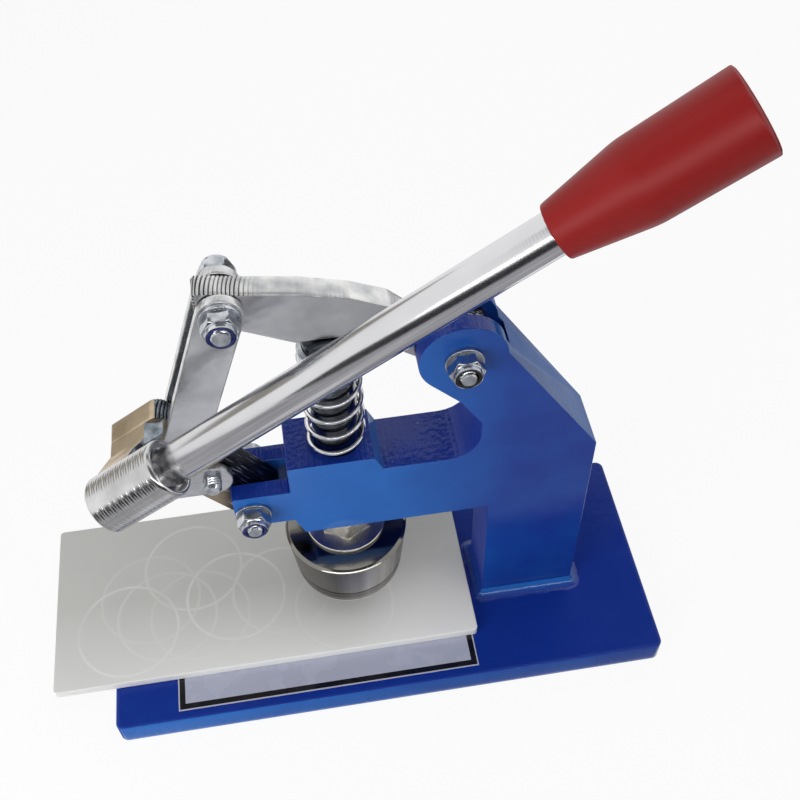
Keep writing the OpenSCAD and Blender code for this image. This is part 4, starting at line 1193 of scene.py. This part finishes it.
class CUTTER_OT_stage(bpy.types.Operator):
    """Pale floor, soft studio light, cards that reflections see, and the camera."""

    bl_idname = "cutter.stage"
    bl_label = "Studio stage"

    def execute(self, context):
        context.scene.view_settings.view_transform = "Standard"
        self.world(context.scene)
        self.floor(context.scene.cutter_colours.floor)
        for row in CARDS:
            self.card(*row)
        for row in LAMPS:
            self.lamp(*row)
        self.camera(context.scene)
        return {"FINISHED"}

    def seen(self, put):
        """One for camera, glossy and transmission rays."""
        path = put("LightPath").outputs
        first = put("Math", {0: path["Is Camera Ray"], 1: path["Is Glossy Ray"]}, operation="MAXIMUM")
        return put("Math", {0: first, 1: path["Is Transmission Ray"]}, operation="MAXIMUM")

    def world(self, scene):
        """White where the camera or a reflection looks, an even soft grey as light."""
        world = bpy.data.worlds.new("studio")
        world.use_nodes = True
        world.node_tree.nodes.clear()
        put = partial(add, world.node_tree)
        soft = put("Background", {"Color": (1, 1, 1, 1), "Strength": AMBIENT})
        white = put("Background", {"Color": (1, 1, 1, 1), "Strength": 1.0})
        put("OutputWorld", {"Surface": put("MixShader", {0: self.seen(put), 1: soft, 2: white})})
        scene.world = world

    def sheet(self, name, points, made):
        """One flat face of the stage with its material."""
        mesh = bpy.data.meshes.new(name)
        mesh.from_pydata(points.tolist(), [], [list(range(len(points)))])
        mesh.materials.append(made)
        flat = show(name, mesh)
        return flat

    def floor(self, colour):
        """Round floor under the press; it shows white but keeps part of the shadow."""
        made, put, _ = begin("studio_floor")
        share = put("Math", {0: self.seen(put), 1: FLOOR_GLOW}, operation="MULTIPLY")
        matt = put("BsdfDiffuse", {"Color": colour})
        glow = put("Emission", {"Color": (1, 1, 1, 1), "Strength": 1.0})
        put("OutputMaterial", {"Surface": put("MixShader", {0: share, 1: matt, 2: glow})})
        radius = 4.0
        turn = np.arange(64) * TURN / 64
        rim = [radius * np.cos(turn), radius * np.sin(turn), np.full(len(turn), -0.2 * MM)]
        self.sheet("floor", np.stack(rim, axis=1), made)

    def card(self, name, centre, size, facing, tones, strength):
        """Card that only reflections see, as a studio flag, mottled between two tones every 180 mm."""
        place = aimed(centre, facing)
        corner = np.array([[-1, -1], [1, -1], [1, 1], [-1, 1]]) / 2
        felt, put, coords = begin(name)
        mottle = put("TexNoise", {"Vector": coords["Object"], "Scale": 1 / (180 * MM), "Detail": 1.0})
        share = put("MapRange", {0: mottle, 1: 0.35, 2: 0.65})
        tone = put("Mix", {0: share, 6: linear(tones[0]), 7: linear(tones[1])}, data_type="RGBA")
        put("OutputMaterial", {"Surface": put("Emission", {"Color": tone, "Strength": strength})})
        made = self.sheet(name, place[:3, 3] + (corner * size) @ place[:3, :2].T, felt)
        made.visible_camera = False
        made.visible_diffuse = False
        made.visible_shadow = False
        made.visible_transmission = False

    def lamp(self, name, place, size, power):
        """Square soft lamp, out of sight of reflections."""
        data = bpy.data.lights.new(name, "AREA")
        data.size = size
        data.energy = power
        made = show(name, data)
        made.matrix_world = Matrix(aimed(place, place - LAMP_TARGET).tolist())
        made.visible_glossy = False

    def camera(self, scene):
        """Camera at the photograph's viewpoint, found by fitting the base, frame and board."""
        data = bpy.data.cameras.new("viewpoint")
        data.lens = 49.0
        data.sensor_width = 36.0
        data.clip_start = 0.01
        data.clip_end = 50.0
        right = (0.98770, -0.15514, -0.01933)
        up = (0.13218, 0.76266, 0.63314)
        back = (-0.08348, -0.62791, 0.77379)
        place = (-0.0240, -0.2895, 0.5222)
        matrix = np.eye(4)
        matrix[:3] = np.transpose([right, up, back, place])
        scene.camera = show("viewpoint", data)
        scene.camera.matrix_world = Matrix(matrix.tolist())


OPERATORS = (CUTTER_OT_base, CUTTER_OT_label, CUTTER_OT_board, CUTTER_OT_frame, CUTTER_OT_pivots,
             CUTTER_OT_lever, CUTTER_OT_handle, CUTTER_OT_links, CUTTER_OT_arm, CUTTER_OT_ram,
             CUTTER_OT_cutter, CUTTER_OT_stage)


class CUTTER_PT_sidebar(bpy.types.Panel):
    """Sizes, colours and pieces of the press."""

    bl_idname = "CUTTER_PT_sidebar"
    bl_label = "Fabric sample cutter"
    bl_space_type = "VIEW_3D"
    bl_region_type = "UI"
    bl_category = "Cutter"

    def draw(self, context):
        for group in (context.scene.cutter_sizes, context.scene.cutter_colours):
            for key in group.__annotations__:
                self.layout.prop(group, key)
        for operator in OPERATORS:
            self.layout.operator(operator.bl_idname)


CLASSES = (CutterSizes, CutterColours, *OPERATORS, CUTTER_PT_sidebar)


def register():
    for kind in CLASSES:
        bpy.utils.register_class(kind)
    bpy.types.Scene.cutter_sizes = bpy.props.PointerProperty(type=CutterSizes)
    bpy.types.Scene.cutter_colours = bpy.props.PointerProperty(type=CutterColours)


def unregister():
    del bpy.types.Scene.cutter_colours
    del bpy.types.Scene.cutter_sizes
    for kind in reversed(CLASSES):
        bpy.utils.unregister_class(kind)


def main():
    """Builds every piece in order."""
    register()
    bpy.ops.cutter.base()
    bpy.ops.cutter.label()
    bpy.ops.cutter.board()
    bpy.ops.cutter.frame()
    bpy.ops.cutter.pivots()
    bpy.ops.cutter.lever()
    bpy.ops.cutter.handle()
    bpy.ops.cutter.links()
    bpy.ops.cutter.arm()
    bpy.ops.cutter.ram()
    bpy.ops.cutter.knife()
    bpy.ops.cutter.stage()


if __name__ == "__main__":
    main()
